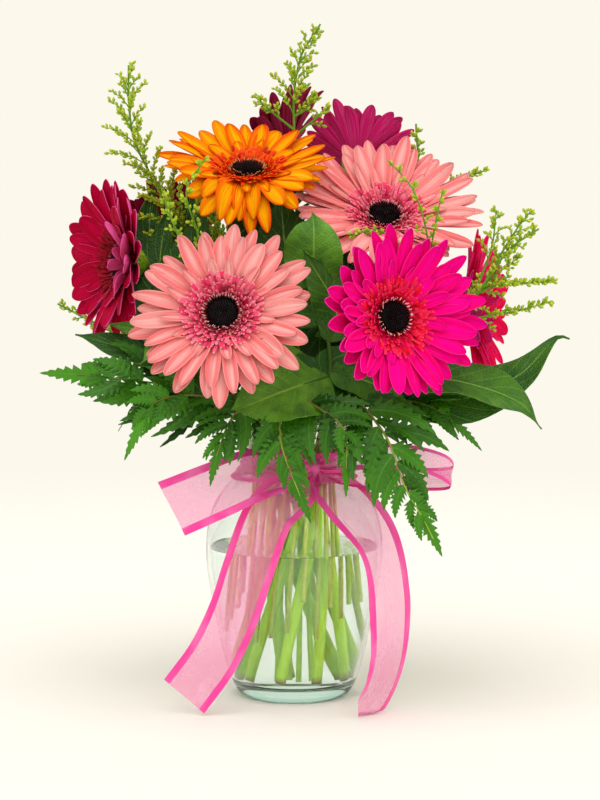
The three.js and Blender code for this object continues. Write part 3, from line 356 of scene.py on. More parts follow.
class Parts:
    """Blocks of points with their faces, gathered until they become one mesh."""

    def __init__(self):
        self.points, self.uv, self.tone, self.under = [], [], [], []
        self.faces = {3: [], 4: []}
        self.count = 0

    def put(self, points, uv, tone, under, faces):
        """Adds a block: faces are rows of 3 or 4 corners, counted from the block's first point."""
        points = np.asarray(points, float).reshape(-1, 3)
        self.points.append(points)
        self.uv.append(np.asarray(uv, float).reshape(-1, 2))
        self.tone.append(np.broadcast_to(np.asarray(tone, float).ravel(), len(points)).copy())
        self.under.append(np.broadcast_to(np.asarray(under, float).ravel(), len(points)).copy())
        for rows in faces:
            self.faces[rows.shape[-1]].append(rows.reshape(-1, rows.shape[-1]) + self.count)
        self.count += len(points)

    def blades(self, top, thickness, tone):
        """Closed thin blades. top[blade, row, column] are the points of the upper side, with rows along the
        blade; the under side lies `thickness` behind along the normal, and a rim joins the two."""
        n, rows, columns, _ = top.shape
        normal = unit(np.cross(np.gradient(top, axis=2), np.gradient(top, axis=1)))
        size = rows * columns
        grid = np.arange(size).reshape(rows, columns)
        quads = np.stack([grid[:-1, :-1], grid[:-1, 1:], grid[1:, 1:], grid[1:, :-1]], -1).reshape(-1, 4)
        edge = np.concatenate([grid[0, :-1], grid[:-1, -1], grid[-1, :0:-1], grid[:0:-1, 0]])
        after = np.roll(edge, -1)
        rim = np.stack([after, edge, edge + size, after + size], -1)
        one = np.concatenate([quads, quads[:, ::-1] + size, rim])
        v, u = np.meshgrid(np.linspace(0, 1, rows), np.linspace(0, 1, columns), indexing="ij")
        uv = np.tile(np.stack([u, v], -1).reshape(-1, 2), (2 * n, 1))
        points = np.concatenate([top.reshape(n, size, 3), (top - thickness * normal).reshape(n, size, 3)], 1)
        tone = np.repeat(np.broadcast_to(tone, n), 2 * size)
        under = np.tile(np.repeat([0.0, 1.0], size), n)
        step = 2 * size * np.arange(n)[:, None, None]
        self.put(points, uv, tone, under, [one[None] + step])

    def rings(self, rings, tone):
        """Closed skins through rings[skin, step, place]: quads between the rings and a fan at each end."""
        n, steps, sides, _ = rings.shape
        ends = np.stack([rings[:, 0].mean(1), rings[:, -1].mean(1)], 1)
        size = steps * sides
        grid = np.arange(size).reshape(steps, sides)
        after = np.roll(grid, -1, axis=1)
        quads = np.stack([grid[:-1], after[:-1], after[1:], grid[1:]], -1).reshape(-1, 4)
        first = np.stack([np.full(sides, size), after[0], grid[0]], -1)
        last = np.stack([np.full(sides, size + 1), grid[-1], after[-1]], -1)
        v, u = np.meshgrid(np.linspace(0, 1, steps), np.arange(sides) / sides, indexing="ij")
        uv = np.concatenate([np.stack([u, v], -1).reshape(-1, 2), [(0.5, 0.0), (0.5, 1.0)]])
        points = np.concatenate([rings.reshape(n, size, 3), ends], 1)
        shift = (size + 2) * np.arange(n)[:, None, None]
        tone = np.repeat(np.broadcast_to(tone, n), size + 2)
        fans = np.concatenate([first, last])
        self.put(points, np.tile(uv, (n, 1)), tone, 0.0, [quads[None] + shift, fans[None] + shift])

    def tubes(self, lines, radii, sides, tone=0.5):
        """Round tubes: at each step of a line a circle square to it, whose start is carried along the
        bend."""
        n, steps, _ = lines.shape
        along = unit(np.gradient(lines, axis=1))
        side = np.empty_like(along)
        side[:, 0] = unit(np.cross(along[:, 0], (0.31, 0.87, 0.38)))
        for k in range(1, steps):
            side[:, k] = square_to(side[:, k - 1], along[:, k])
        other = np.cross(along, side)
        angle = np.linspace(0, 2 * math.pi, sides, endpoint=False)[:, None]
        spoke = np.cos(angle) * side[:, :, None] + np.sin(angle) * other[:, :, None]
        radii = np.broadcast_to(radii, (n, steps))
        self.rings(lines[:, :, None] + radii[..., None, None] * spoke, tone)

    def lathe(self, profile, sides):
        """A profile of radius and height turned round the vase's axis, closed at both ends on the axis."""
        angle = np.linspace(0, 2 * math.pi, sides, endpoint=False)
        radius, height = np.asarray(profile, float).T
        self.rings(turned(radius[:, None], angle, height[:, None])[None], 0.5)

    def make(self, name, material, slot, *nodes, smooth=50):
        """One piece at the origin from all blocks, riding on the frame in place of the CAD nodes named."""
        points = np.concatenate(self.points) * MM
        faces = [np.concatenate(rows) for rows in self.faces.values() if rows]
        corners = np.concatenate([rows.ravel() for rows in faces])
        sizes = np.concatenate([np.full(len(rows), rows.shape[1]) for rows in faces])
        mesh = bpy.data.meshes.new(name)
        mesh.vertices.add(len(points))
        mesh.vertices.foreach_set("co", points.ravel())
        mesh.loops.add(len(corners))
        mesh.loops.foreach_set("vertex_index", corners)
        mesh.polygons.add(len(sizes))
        mesh.polygons.foreach_set("loop_start", np.cumsum(sizes) - sizes)
        mesh.uv_layers.new(name="UVMap").data.foreach_set("uv", np.concatenate(self.uv)[corners].ravel())
        for key, values in (("tone", self.tone), ("under", self.under)):
            data = mesh.attributes.new(key, "FLOAT", "POINT").data
            data.foreach_set("value", np.concatenate(values))
        mesh.update(calc_edges=True)
        mesh.validate()
        mesh.shade_smooth()
        mesh.set_sharp_from_angle(angle=math.radians(smooth))
        mesh.materials.append(material)
        piece = bpy.data.objects.new(name, mesh)
        bpy.context.scene.collection.objects.link(piece)
        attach(piece, BODY)
        if nodes:
            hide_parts(*nodes)
        return piece


def feed(tree, node, inputs):
    """Gives a node its inputs: each is a value, a hex colour, a socket, or a node that stands for its first
    output in use."""
    for key, value in inputs.items():
        if isinstance(value, bpy.types.Node):
            value = next(output for output in value.outputs if output.enabled)
        if isinstance(value, bpy.types.NodeSocket):
            tree.links.new(value, node.inputs[key])
        else:
            node.inputs[key].default_value = linear(value) if isinstance(value, str) else value


def add(tree, kind, inputs=None, stops=None, **settings):
    """Adds a shader node with its settings and inputs. stops are the places and hex colours of a ramp."""
    node = tree.nodes.new("ShaderNode" + kind)
    for key, value in settings.items():
        setattr(node, key, value)
    feed(tree, node, inputs or {})
    for i, (place, colour) in enumerate(stops or ()):
        elements = node.color_ramp.elements
        element = elements[i] if i < len(elements) else elements.new(place)
        element.position = place
        element.color = linear(colour)
    return node


def finish_of(name, **constants):
    """A new material with its constants set on its shader: the material, its tree and its shader."""
    material = bpy.data.materials.new(name)
    material.use_nodes = True
    tree = material.node_tree
    shader = tree.nodes["Principled BSDF"]
    feed(tree, shader, {key.replace("_", " "): value for key, value in constants.items()})
    return material, tree, shader


def mapped(tree):
    """A piece's own map: both coordinates as one, u across the piece and v along it."""
    uv = add(tree, "UVMap", uv_map="UVMap")
    axes = add(tree, "SeparateXYZ", {0: uv}).outputs
    return uv, axes["X"], axes["Y"]


def nearness(tree, u):
    """How near u is to an edge: 0 in the middle and 1 at either edge."""
    half = add(tree, "Math", {0: u, 1: 0.5}, operation="SUBTRACT")
    edge = add(tree, "Math", {0: half}, operation="ABSOLUTE")
    return add(tree, "Math", {0: edge, 1: 2.0}, operation="MULTIPLY")


def stored(tree, name):
    """What each point of a piece holds: its tone, one for a petal or leaf, or whether it is on the under
    side."""
    return add(tree, "Attribute", attribute_name=name).outputs["Fac"]


def zigzag(tree, value, times):
    """Up and down between 0 and 0.5, `times` over while a value grows by 1."""
    many = add(tree, "Math", {0: value, 1: times}, operation="MULTIPLY")
    return add(tree, "Math", {0: many, 1: 0.5}, operation="PINGPONG")


def petal_finish(kind, colours):
    """Fresh ray petal: soft matt skin, deeper at its root, paler along its middle, partly its own colour and
    partly a painted highlight, veined lengthwise, and with a painted highlight along its edge (on the orange
    kind a red-orange edge like its tip)."""
    material, tree, shader = finish_of("fresh_petal_" + kind, Roughness=0.6, Specular_IOR_Level=0.04)
    uv, u, v = mapped(tree)
    near, tone, under = nearness(tree, u), stored(tree, "tone"), stored(tree, "under")
    along = add(tree, "ValToRGB", {0: v}, stops=[
        (0.0, colours["root"]), (colours.get("heart", 0.3), colours["body"]),
        (colours.get("fades", 0.8), colours["body"]), (1.0, colours["tip"])])
    # Veins about 0.7 mm apart on a petal 12 mm wide, different on every petal.
    place = add(tree, "VectorMath", {0: uv, 1: (17.0, 1.3, 1.0)}, operation="MULTIPLY")
    moved = add(tree, "Math", {0: tone, 1: 40.0}, operation="MULTIPLY")
    shift = add(tree, "CombineXYZ", {2: moved})
    apart = add(tree, "VectorMath", {0: place, 1: shift}, operation="ADD")
    veins = add(tree, "TexNoise", {"Vector": apart, "Scale": 1.0, "Detail": 3.0})
    # The pale middle, away from the root and the edges, is partly the petal's own colour and partly a painted
    # highlight.
    middle = add(tree, "MapRange", {0: near, 2: 0.75, 3: 0.85, 4: 0.0}, interpolation_type="SMOOTHSTEP")
    outer = add(tree, "MapRange", {0: v, 1: 0.12, 2: 0.5}, interpolation_type="SMOOTHSTEP")
    share = add(tree, "Math", {0: middle, 1: outer}, operation="MULTIPLY")
    colour = add(tree, "Mix", {0: share, 6: along, 7: colours["pale"]}, data_type="RGBA")
    streak = add(tree, "MapRange", {0: veins, 1: 0.48, 2: 0.72, 4: colours.get("streaks", 0.5)})
    streak_colour, edge_tint_and_highlight_share = (colours["tip"], 0.85) if kind == "orange" else (colours["root"], 0.45)
    colour = add(tree, "Mix", {0: streak, 6: colour, 7: streak_colour}, data_type="RGBA")
    # Painted highlight along the edge; the orange kind takes its red-orange tip colour there instead.
    rim = add(tree, "MapRange", {0: near, 1: colours["rim"], 2: 1.0, 4: edge_tint_and_highlight_share},
              interpolation_type="SMOOTHSTEP")
    colour = add(tree, "Mix", {0: rim, 6: colour, 7: colours["edge"]}, data_type="RGBA")
    paler = add(tree, "MapRange", {0: tone, 1: 0.35, 2: 1.0, 4: 0.45})
    colour = add(tree, "Mix", {0: paler, 6: colour, 7: colours["pale"]}, data_type="RGBA")
    behind = add(tree, "Mix", {0: streak, 6: colours["under"], 7: colours["edge"]}, data_type="RGBA")
    colour = add(tree, "Mix", {0: under, 6: colour, 7: behind}, data_type="RGBA")
    # Two shallow grooves run the length of a petal between its three ridges.
    relief = add(tree, "Math", {0: zigzag(tree, u, 3.0), 1: 1.2, 2: veins}, operation="MULTIPLY_ADD")
    bump = add(tree, "Bump", {"Height": relief, "Distance": 0.0009, "Strength": 0.9})
    feed(tree, shader, {"Base Color": colour, "Normal": bump})
    return material


def floret_finish(kind, colours):
    """Small strap floret: deep at its root with a pale tip; a low tone darkens it as painted shade of the
    eye, and a high tone lightens it.
    """
    material, tree, shader = finish_of("small_floret_" + kind, Roughness=0.5, Specular_IOR_Level=0.1)
    _, _, v = mapped(tree)
    tone = stored(tree, "tone")
    along = add(tree, "ValToRGB", {0: v}, stops=[
        (0.0, colours["deep"]), (0.45, colours["floret"]), (0.75, colours["floret"]),
        (0.95, colours["floret_tip"])])
    # Tone is set by ring with a random spread: a high tone, on the outer rings, lightens a floret towards its
    # pale tip.
    lighter = add(tree, "MapRange", {0: tone, 1: 0.5, 2: 1.0, 4: 0.4})
    colour = add(tree, "Mix", {0: lighter, 6: along, 7: colours["floret_tip"]}, data_type="RGBA")
    # Painted shade of the eye: a low tone, given to the inner rings, darkens a floret towards its deep root
    # colour.
    eye_shade_share = add(tree, "MapRange", {0: tone, 2: 0.4, 3: 0.7, 4: 0.0})
    colour = add(tree, "Mix", {0: eye_shade_share, 6: colour, 7: colours["deep"]}, data_type="RGBA")
    feed(tree, shader, {"Base Color": colour})
    return material


def style_finish(kind, colours):
    """Pale styles that stand out of the outer florets of the eye."""
    material, tree, shader = finish_of("pale_style_" + kind, Roughness=0.45, Specular_IOR_Level=0.3)
    _, _, v = mapped(tree)
    along = add(tree, "ValToRGB", {0: v}, stops=[(0.35, colours["floret"]), (0.7, colours["style"])])
    feed(tree, shader, {"Base Color": along})
    return material


def eye_finish(name, dark, light):
    """Unopened florets: small waxy buds, nearly black, with a little colour in their tips."""
    material, tree, shader = finish_of(name, Roughness=0.38, Specular_IOR_Level=0.16)
    _, _, v = mapped(tree)
    tone = stored(tree, "tone")
    along = add(tree, "ValToRGB", {0: v}, stops=[(0.6, dark), (1.0, light)])
    share = add(tree, "MapRange", {0: tone, 1: 0.3, 2: 1.0})
    colour = add(tree, "Mix", {0: share, 6: dark, 7: along}, data_type="RGBA")
    feed(tree, shader, {"Base Color": colour})
    return material


def stem_finish():
    """Gerbera stem: a fleshy green skin with fine ribs lengthwise, browned at the cut foot."""
    material, tree, shader = finish_of("fleshy_green_stem", Roughness=0.42, Specular_IOR_Level=0.3)
    uv, _, v = mapped(tree)
    tone = stored(tree, "tone")
    along = add(tree, "ValToRGB", {0: v}, stops=[
        (0.0, "#8A7030"), (0.015, "#B8E430"), (0.35, "#B0E028"), (0.6, "#98C826"),
        (1.0, "#7CAA22")])
    place = add(tree, "VectorMath", {0: uv, 1: (16.0, 26.0, 1.0)}, operation="MULTIPLY")
    ribs = add(tree, "TexNoise", {"Vector": place, "Scale": 1.0, "Detail": 4.0})
    share = add(tree, "MapRange", {0: ribs, 1: 0.45, 2: 0.8, 4: 0.5})
    colour = add(tree, "Mix", {0: share, 6: along, 7: "#6CA41C"}, data_type="RGBA")
    greener = add(tree, "MapRange", {0: tone, 1: 0.3, 2: 1.0, 4: 0.6})
    colour = add(tree, "Mix", {0: greener, 6: colour, 7: "#649C20"}, data_type="RGBA")
    bump = add(tree, "Bump", {"Height": ribs, "Distance": 0.0003, "Strength": 0.5})
    feed(tree, shader, {"Base Color": colour, "Normal": bump})
    return material


def woody_finish(name, dark, light, high):
    """Foliage stalk: a thin skin, mottled from dark to light every few millimetres; in air, over the neck,
    it is one dull colour."""
    material, tree, shader = finish_of(name, Roughness=0.55, Specular_IOR_Level=0.2)
    place = add(tree, "TexCoord").outputs["Object"]
    mottle = add(tree, "TexNoise", {"Vector": place, "Scale": 260.0, "Detail": 3.0})
    colour = add(tree, "Mix", {0: mottle, 6: dark, 7: light}, data_type="RGBA")
    height = add(tree, "SeparateXYZ", {0: place}).outputs[2]
    share = add(tree, "MapRange", {0: height, 1: 0.15, 2: 0.2})
    colour = add(tree, "Mix", {0: share, 6: colour, 7: high}, data_type="RGBA")
    bump = add(tree, "Bump", {"Height": mottle, "Distance": 0.0003, "Strength": 0.5})
    feed(tree, shader, {"Base Color": colour, "Normal": bump})
    return material


def leaf_finish():
    """Salal leaf: a waxy skin with a pale midrib and about eight arched veins a side; each leaf's tone paints
    it lighter where light falls on it and darker where it lies in shade.
    """
    material, tree, shader = finish_of("waxy_salal_leaf", Roughness=0.36, Specular_IOR_Level=0.35)
    _, u, v = mapped(tree)
    near, tone, under = nearness(tree, u), stored(tree, "tone"), stored(tree, "under")
    arch = add(tree, "Math", {0: near, 1: 0.75}, operation="POWER")
    swept = add(tree, "Math", {0: arch, 1: -0.24, 2: v}, operation="MULTIPLY_ADD")
    side_vein = add(tree, "MapRange", {0: zigzag(tree, swept, 9.0), 2: 0.07, 3: 0.35, 4: 0.0},
                    interpolation_type="SMOOTHSTEP")
    midrib = add(tree, "MapRange", {0: near, 2: 0.05, 3: 1.0, 4: 0.0}, interpolation_type="SMOOTHSTEP")
    vein = add(tree, "Math", {0: side_vein, 1: midrib}, operation="MAXIMUM")
    place = add(tree, "TexCoord").outputs["Object"]
    # Cells about 1.5 mm wide between the finest veins, and cloudy patches of some 12 mm.
    net = add(tree, "TexVoronoi", {"Vector": place, "Scale": 650.0}, feature="DISTANCE_TO_EDGE")
    cloud = add(tree, "TexNoise", {"Vector": place, "Scale": 80.0, "Detail": 3.0})
    # Painted light and shade: each leaf's tone scales its mottled cloud, so lit leaves come out lighter and
    # shaded ones darker.
    mottle_and_painted_light = add(tree, "Math", {0: cloud, 1: tone}, operation="MULTIPLY")
    share = add(tree, "MapRange", {0: mottle_and_painted_light, 1: 0.1, 2: 0.5})
    colour = add(tree, "Mix", {0: share, 6: "#205806", 7: "#68A41C"}, data_type="RGBA")
    colour = add(tree, "Mix", {0: vein, 6: colour, 7: "#84B43C"}, data_type="RGBA")
    colour = add(tree, "Mix", {0: under, 6: colour, 7: "#6A9430"}, data_type="RGBA")
    deep = add(tree, "Math", {0: net, 1: 60.0}, operation="MULTIPLY")
    relief = add(tree, "Math", {0: deep, 1: vein}, operation="SUBTRACT")
    bump = add(tree, "Bump", {"Height": relief, "Distance": 0.0003, "Strength": 0.3})
    feed(tree, shader, {"Base Color": colour, "Normal": bump})
    return material


def fern_finish():
    """Leathery fern leaflet: dark glossy green with a fine midrib and forked veins; a low tone, given to
    leaflets near the frond's base, paints the shade inside the bunch.
    """
    material, tree, shader = finish_of("leathery_fern_leaflet", Roughness=0.33, Specular_IOR_Level=0.28)
    _, u, v = mapped(tree)
    near, tone, under = nearness(tree, u), stored(tree, "tone"), stored(tree, "under")
    # Painted shade: a low tone darkens a leaflet towards near black.
    colour = add(tree, "Mix", {0: tone, 6: "#083402", 7: "#4C9C0C"}, data_type="RGBA")
    light = add(tree, "MapRange", {0: v, 1: 0.3, 2: 1.0, 4: 0.3})
    colour = add(tree, "Mix", {0: light, 6: colour, 7: "#52A010"}, data_type="RGBA")
    midrib = add(tree, "MapRange", {0: near, 2: 0.1, 3: 0.5, 4: 0.0})
    colour = add(tree, "Mix", {0: midrib, 6: colour, 7: "#62AC2C"}, data_type="RGBA")
    colour = add(tree, "Mix", {0: under, 6: colour, 7: "#285E12"}, data_type="RGBA")
    swept = add(tree, "Math", {0: near, 1: -0.12, 2: v}, operation="MULTIPLY_ADD")
    bump = add(tree, "Bump", {"Height": zigzag(tree, swept, 18.0), "Distance": 0.0005, "Strength": 0.6})
    feed(tree, shader, {"Base Color": colour, "Normal": bump})
    return material


def bud_finish():
    """Solidago buds: matt yellow-green beads, greener at the foot."""
    material, tree, shader = finish_of("yellow_green_buds", Roughness=0.55, Specular_IOR_Level=0.25)
    _, _, v = mapped(tree)
    tone = stored(tree, "tone")
    along = add(tree, "ValToRGB", {0: v}, stops=[(0.1, "#6E9814"), (0.6, "#BCCC28"), (1.0, "#DCDC58")])
    colour = add(tree, "Mix", {0: tone, 6: along, 7: "#98BC24"}, data_type="RGBA")
    feed(tree, shader, {"Base Color": colour})
    return material


def ribbon_finish(body, edge, sheer, satin):
    """Organza: a sheer plain weave between two satin edges, which shine and hide what is behind them; pale
    pinks painted along its creases stand for highlights.
    """
    material, tree, shader = finish_of("organza_with_satin_edge", Roughness=0.38, Specular_IOR_Level=0.4,
                                       Sheen_Weight=0.3, Sheen_Roughness=0.3)
    uv, u, _ = mapped(tree)
    band = add(tree, "MapRange", {0: nearness(tree, u), 1: 1 - satin, 2: 1 - satin + 0.02})
    # Soft creases of some 10 mm, drawn out along the strip.
    place = add(tree, "VectorMath", {0: uv, 1: (3.0, 6.0, 1.0)}, operation="MULTIPLY")
    crease = add(tree, "TexNoise", {"Vector": place, "Scale": 1.0, "Detail": 2.0})
    # Painted highlights: where the crease noise is high, satin and organza are mixed towards paler pinks.
    light = add(tree, "MapRange", {0: crease, 1: 0.42, 2: 0.7, 4: 0.45})
    satin_with_highlight = add(tree, "Mix", {0: light, 6: edge, 7: "#FF98D4"}, data_type="RGBA")
    sheer_with_highlight = add(tree, "Mix", {0: light, 6: body, 7: "#FFC4E4"}, data_type="RGBA")
    colour = add(tree, "Mix", {0: band, 6: sheer_with_highlight, 7: satin_with_highlight}, data_type="RGBA")
    cover = add(tree, "MapRange", {0: crease, 1: 0.3, 2: 0.7, 3: 0.85, 4: 1.15})
    thin = add(tree, "Math", {0: cover, 1: sheer}, operation="MULTIPLY")
    solid = add(tree, "MapRange", {0: band, 3: thin, 4: 0.97})
    feed(tree, shader, {"Base Color": colour, "Alpha": solid})
    return material


def satin_finish(colour):
    """Satin of the knot, where the ribbon is gathered so tightly that its edges hide the organza; stripes of
    painted highlight run round it.
    """
    material, tree, shader = finish_of("gathered_pink_satin", Roughness=0.32, Specular_IOR_Level=0.5,
                                       Sheen_Weight=0.3)
    _, u, _ = mapped(tree)
    # Painted highlights: stripes round the knot are mixed towards a paler pink.
    share = add(tree, "MapRange", {0: zigzag(tree, u, 7.0), 2: 0.5, 4: 0.5})
    colour = add(tree, "Mix", {0: share, 6: colour, 7: "#FF84C8"}, data_type="RGBA")
    feed(tree, shader, {"Base Color": colour})
    return material


def glass_finish(tint):
    """Pressed soda-lime glass: clear, with the green of its iron where it is thick."""
    material, tree, shader = finish_of("pressed_soda_lime_glass", Roughness=0.012, IOR=1.5,
                                       Transmission_Weight=1.0)
    place = add(tree, "TexCoord").outputs["Object"]
    high = add(tree, "SeparateXYZ", {0: place}).outputs[2]
    foot = add(tree, "MapRange", {0: high, 2: 0.016, 3: 1.0, 4: 0.0}, interpolation_type="SMOOTHSTEP")
    colour = add(tree, "Mix", {0: foot, 6: "#F6FCFA", 7: tint}, data_type="RGBA")
    # Pressing leaves a faint ripple of some 30 mm.
    ripple = add(tree, "TexNoise", {"Vector": place, "Scale": 34.0, "Detail": 1.0})
    bump = add(tree, "Bump", {"Height": ripple, "Distance": 0.0008, "Strength": 0.25})
    feed(tree, shader, {"Base Color": colour, "Normal": bump})
    return material


def water_finish():
    """Clear water, IOR 1.33."""
    material, tree, shader = finish_of("clear_water", Roughness=0.0, IOR=1.333, Transmission_Weight=1.0)
    place = add(tree, "TexCoord").outputs["Object"]
    haze = add(tree, "TexNoise", {"Vector": place, "Scale": 20.0, "Detail": 0.0})
    colour = add(tree, "Mix", {0: haze, 6: "#F8FDFC", 7: "#FDFEFD"}, data_type="RGBA")
    feed(tree, shader, {"Base Color": colour})
    return material


def floor_finish(colour, clear_from, clear_at):
    """Plain matt studio board that fades away with the distance from the vase."""
    material, tree, shader = finish_of("matt_studio_board", Roughness=0.9, IOR=1.2)
    place = add(tree, "TexCoord").outputs["Object"]
    far = add(tree, "VectorMath", {0: place}, operation="LENGTH")
    fade = add(tree, "MapRange", {0: far, 1: clear_from, 2: clear_at, 3: 1.0, 4: 0.0},
               interpolation_type="SMOOTHSTEP")
    feed(tree, shader, {"Base Color": colour, "Alpha": fade})
    return material


class BouquetFlowers(bpy.types.PropertyGroup):
    """Sizes of the gerbera heads and their stems."""

    stem_radius: FloatProperty(name="Stem radius", description="Radius of a flower stem",
                               default=0.0032, min=0.002, max=0.005, unit="LENGTH", subtype="DISTANCE")
    petal_thickness: FloatProperty(name="Petal thickness", description="Thickness of a ray petal",
                                   default=0.0006, min=0.0003, max=0.001, unit="LENGTH", subtype="DISTANCE")
    buds: IntProperty(name="Eye buds", description="Unopened florets in an eye", default=170, min=40, max=400)


class BouquetFoliage(bpy.types.PropertyGroup):
    """Sizes of leaves, fronds and sprays."""

    leaf_thickness: FloatProperty(name="Leaf thickness", description="Thickness of a broad leaf",
                                  default=0.0006, min=0.0003, max=0.001, unit="LENGTH", subtype="DISTANCE")
    bud_radius: FloatProperty(name="Bud radius", description="Radius of a solidago bud",
                              default=0.0011, min=0.0006, max=0.002, unit="LENGTH", subtype="DISTANCE")
    lobes: IntProperty(name="Leaflet lobes", description="Lobes on a side of a fern leaflet",
                       default=7, min=3, max=12)


class BouquetRibbon(bpy.types.PropertyGroup):
    """Size and colours of the ribbon."""

    width: FloatProperty(name="Width", description="Width of the ribbon", default=0.041, min=0.02, max=0.05,
                         unit="LENGTH", subtype="DISTANCE")
    satin_edge: FloatProperty(name="Satin edge", description="Width of the satin edge on each side",
                              default=0.0056, min=0.001, max=0.012, unit="LENGTH", subtype="DISTANCE")
    sheer: FloatProperty(name="Sheer cover", description="How much one face of the organza hides",
                         default=0.34, min=0.05, max=1, subtype="FACTOR")
    body_colour: FloatVectorProperty(name="Organza", description="Colour of the sheer middle", size=4,
                                     default=linear("#FF64B8"), min=0, max=1, subtype="COLOR")
    edge_colour: FloatVectorProperty(name="Satin", description="Colour of the satin edges", size=4,
                                     default=linear("#FB40A4"), min=0, max=1, subtype="COLOR")


class BouquetVase(bpy.types.PropertyGroup):
    """Sizes and tint of the glass, and the water level."""

    wall: FloatProperty(name="Wall", description="Thickness of the glass wall", default=0.003, min=0.002,
                        max=0.005, unit="LENGTH", subtype="DISTANCE")
    base: FloatProperty(name="Base", description="Thickness of the glass foot", default=0.009, min=0.004,
                        max=0.015, unit="LENGTH", subtype="DISTANCE")
    water_level: FloatProperty(name="Water level", description="Height of the water's surface", default=0.101,
                               min=0.03, max=0.14, unit="LENGTH", subtype="DISTANCE")
    tint: FloatVectorProperty(name="Foot tint", description="Colour of the glass where it is thick", size=4,
                              default=linear("#A8D6CA"), min=0, max=1, subtype="COLOR")


class BouquetStage(bpy.types.PropertyGroup):
    """Floor, background and light."""

    backdrop: FloatVectorProperty(name="Backdrop", description="Colour of the background", size=4,
                                  default=linear("#FCF8EC"), min=0, max=1, subtype="COLOR")
    floor: FloatVectorProperty(name="Floor", description="Colour of the floor", size=4,
                               default=linear("#F5F2EC"), min=0, max=1, subtype="COLOR")
    surround: FloatProperty(name="Surround", description="Brightness of the room around the camera's view",
                            default=0.8, min=0, max=1, subtype="FACTOR")
    in_glass: FloatProperty(name="Light in glass", description="Light that the lamps send through the glass",
                            default=4.4, min=0, max=6)
    key_light: FloatProperty(name="Key light", description="Strength of the large soft light",
                             default=1.45, min=0, max=10)
    fill_light: FloatProperty(name="Fill light", description="Strength of the light from the right",
                              default=0.35, min=0, max=10)


def around(radius, degrees, height):
    """The point at a radius, an angle in degrees from +X and a height."""
    return turned(radius, math.radians(degrees), height)


def run(slot, ring):
    """Foot, bend and neck of a stem in a ring of the vase: a straight line up to the neck."""
    foot = around(ring["foot"], slot + ring["twist"], ring["height"])
    neck = around(ring["neck"], slot, NECK)
    return [foot, foot + (neck - foot) * (STRAIGHT_TO - ring["height"]) / (NECK - ring["height"]), neck]


def over_rim(slot):
    """A foliage stalk's points from its cut end, which no two have at one height, through the neck and over
    the flared rim."""
    foot, bend, neck = run(slot, STALK_RUN)
    cut = foot + (foot - neck) * 0.55 * (slot * 0.37 % 1)
    return [cut, foot, bend, neck, around(32.5, slot, 177), around(50, slot, 207)]


def on_line(line, share):
    """The point and the direction at a share of an evenly spaced line."""
    k = min(len(line) - 2, int(share * (len(line) - 1)))
    part = share * (len(line) - 1) - k
    return line[k] + part * (line[k + 1] - line[k]), unit(line[k + 1] - line[k])


def head_axes(head):
    """Right, up and out of a head as rows, and its hub: out looks where the head faces, and up is the world's
    up made square to it."""
    azimuth, elevation = np.radians(head["faces"])
    out = np.array([math.cos(elevation) * math.sin(azimuth), -math.cos(elevation) * math.cos(azimuth),
                    math.sin(elevation)])
    up = unit(np.array([0, 0, 1]) - out * out[2])
    return np.array([np.cross(up, out), up, out]), np.array(head["at"]) - EYE_RISE * out


def bowl(head, x, y, tilt):
    """Height of a head's bowl over its hub: it rises by `tilt` from the hub to the rim, less a droop towards
    one side that grows with the square of the way out and falls off as a power of the cosine to the sides."""
    out = (np.hypot(x, y) - HUB_RADIUS) / (head["radius"] - HUB_RADIUS)
    hang = np.maximum(0, np.cos(np.arctan2(y, x) - math.radians(head["droop_to"]))) ** head.get("narrow", 1)
    return tilt * out - head["droop"] * hang * np.maximum(out, 0) ** 2


def ray_row(head, rng, count, offset, reach, base, tilt, width, closing, columns=7):
    """One row of ray petals: v runs from root to tip and u across. Half the width grows as a sine to its
    most at 0.6 and ends in a round tip; the face is channelled by u squared, and each petal sways,
    twists, lifts and curls by its own random amounts. Where a head closes, the petals on that side turn up
    about their roots by half to one and a half times `closing` degrees."""
    angle = 2 * math.pi * (np.arange(count) + offset + 0.5 + 0.45 * (rng.random(count) - 0.5)) / count
    long = reach * (0.9 + 0.15 * rng.random(count))
    channel = 0.08 + 0.34 * rng.random(count)
    curl = rng.normal(0.4, 1.8, count)
    width = width * (0.8 + 0.32 * rng.random(count))
    if "spooned" in head:
        towards = np.cos(angle - math.radians(head["spooned"]))
        spoon = np.maximum(0, towards) ** 2
        long = long * (1 + 0.09 * np.maximum(0, -towards))
        channel = channel + 0.3 * spoon
        curl = curl + 3 * spoon
        width = width * (1 + 0.16 * towards**2)
    if "closes" in head:
        towards = np.cos(angle - math.radians(head["closes"]))
        long = long * (1 + 0.08 * np.maximum(0, -towards))
        turn = (math.radians(closing) * np.maximum(0, towards) * (0.5 + rng.random(count)))[:, None, None]
    lift, twist, sway = rng.normal(0, 1.5, count), rng.normal(0, 0.2, count), rng.normal(0, 2.0, count)
    angle, long, channel, curl, lift, twist, sway, width = (
        a[:, None, None] for a in (angle, long, channel, curl, lift, twist, sway, width))
    v = np.array([0, 0.14, 0.28, 0.42, 0.55, 0.66, 0.75, 0.83, 0.89, 0.94, 0.975, 1])[None, :, None]
    u = np.linspace(1, -1, columns)[None, None, :]
    grow = 0.3 + 0.7 * np.sin(0.5 * math.pi * np.minimum(v / 0.6, 1)) ** 1.3
    close = np.maximum(0.006, 1 - (np.maximum(0, v - 0.64) / 0.36) ** 2.2) ** 0.58
    half = 0.5 * width * grow * close
    root = HUB_RADIUS - 3
    out = root + (long - root) * v
    aside = u * half + sway * v**2
    x, y = swung(out, aside, angle)
    z = (base + bowl(head, x, y, tilt) + lift * v**1.5 + half * channel * (u**2 - 0.3) + twist * u * half
         + curl * np.maximum(0, (v - 0.6) / 0.4) ** 2 + 1.4 * np.sin(math.pi * v))
    if "closes" in head:
        out, z = (root + (out - root) * np.cos(turn) - (z - base) * np.sin(turn),
                  base + (out - root) * np.sin(turn) + (z - base) * np.cos(turn))
        x, y = swung(out, aside, angle)
    return np.stack([x, y, z], -1)


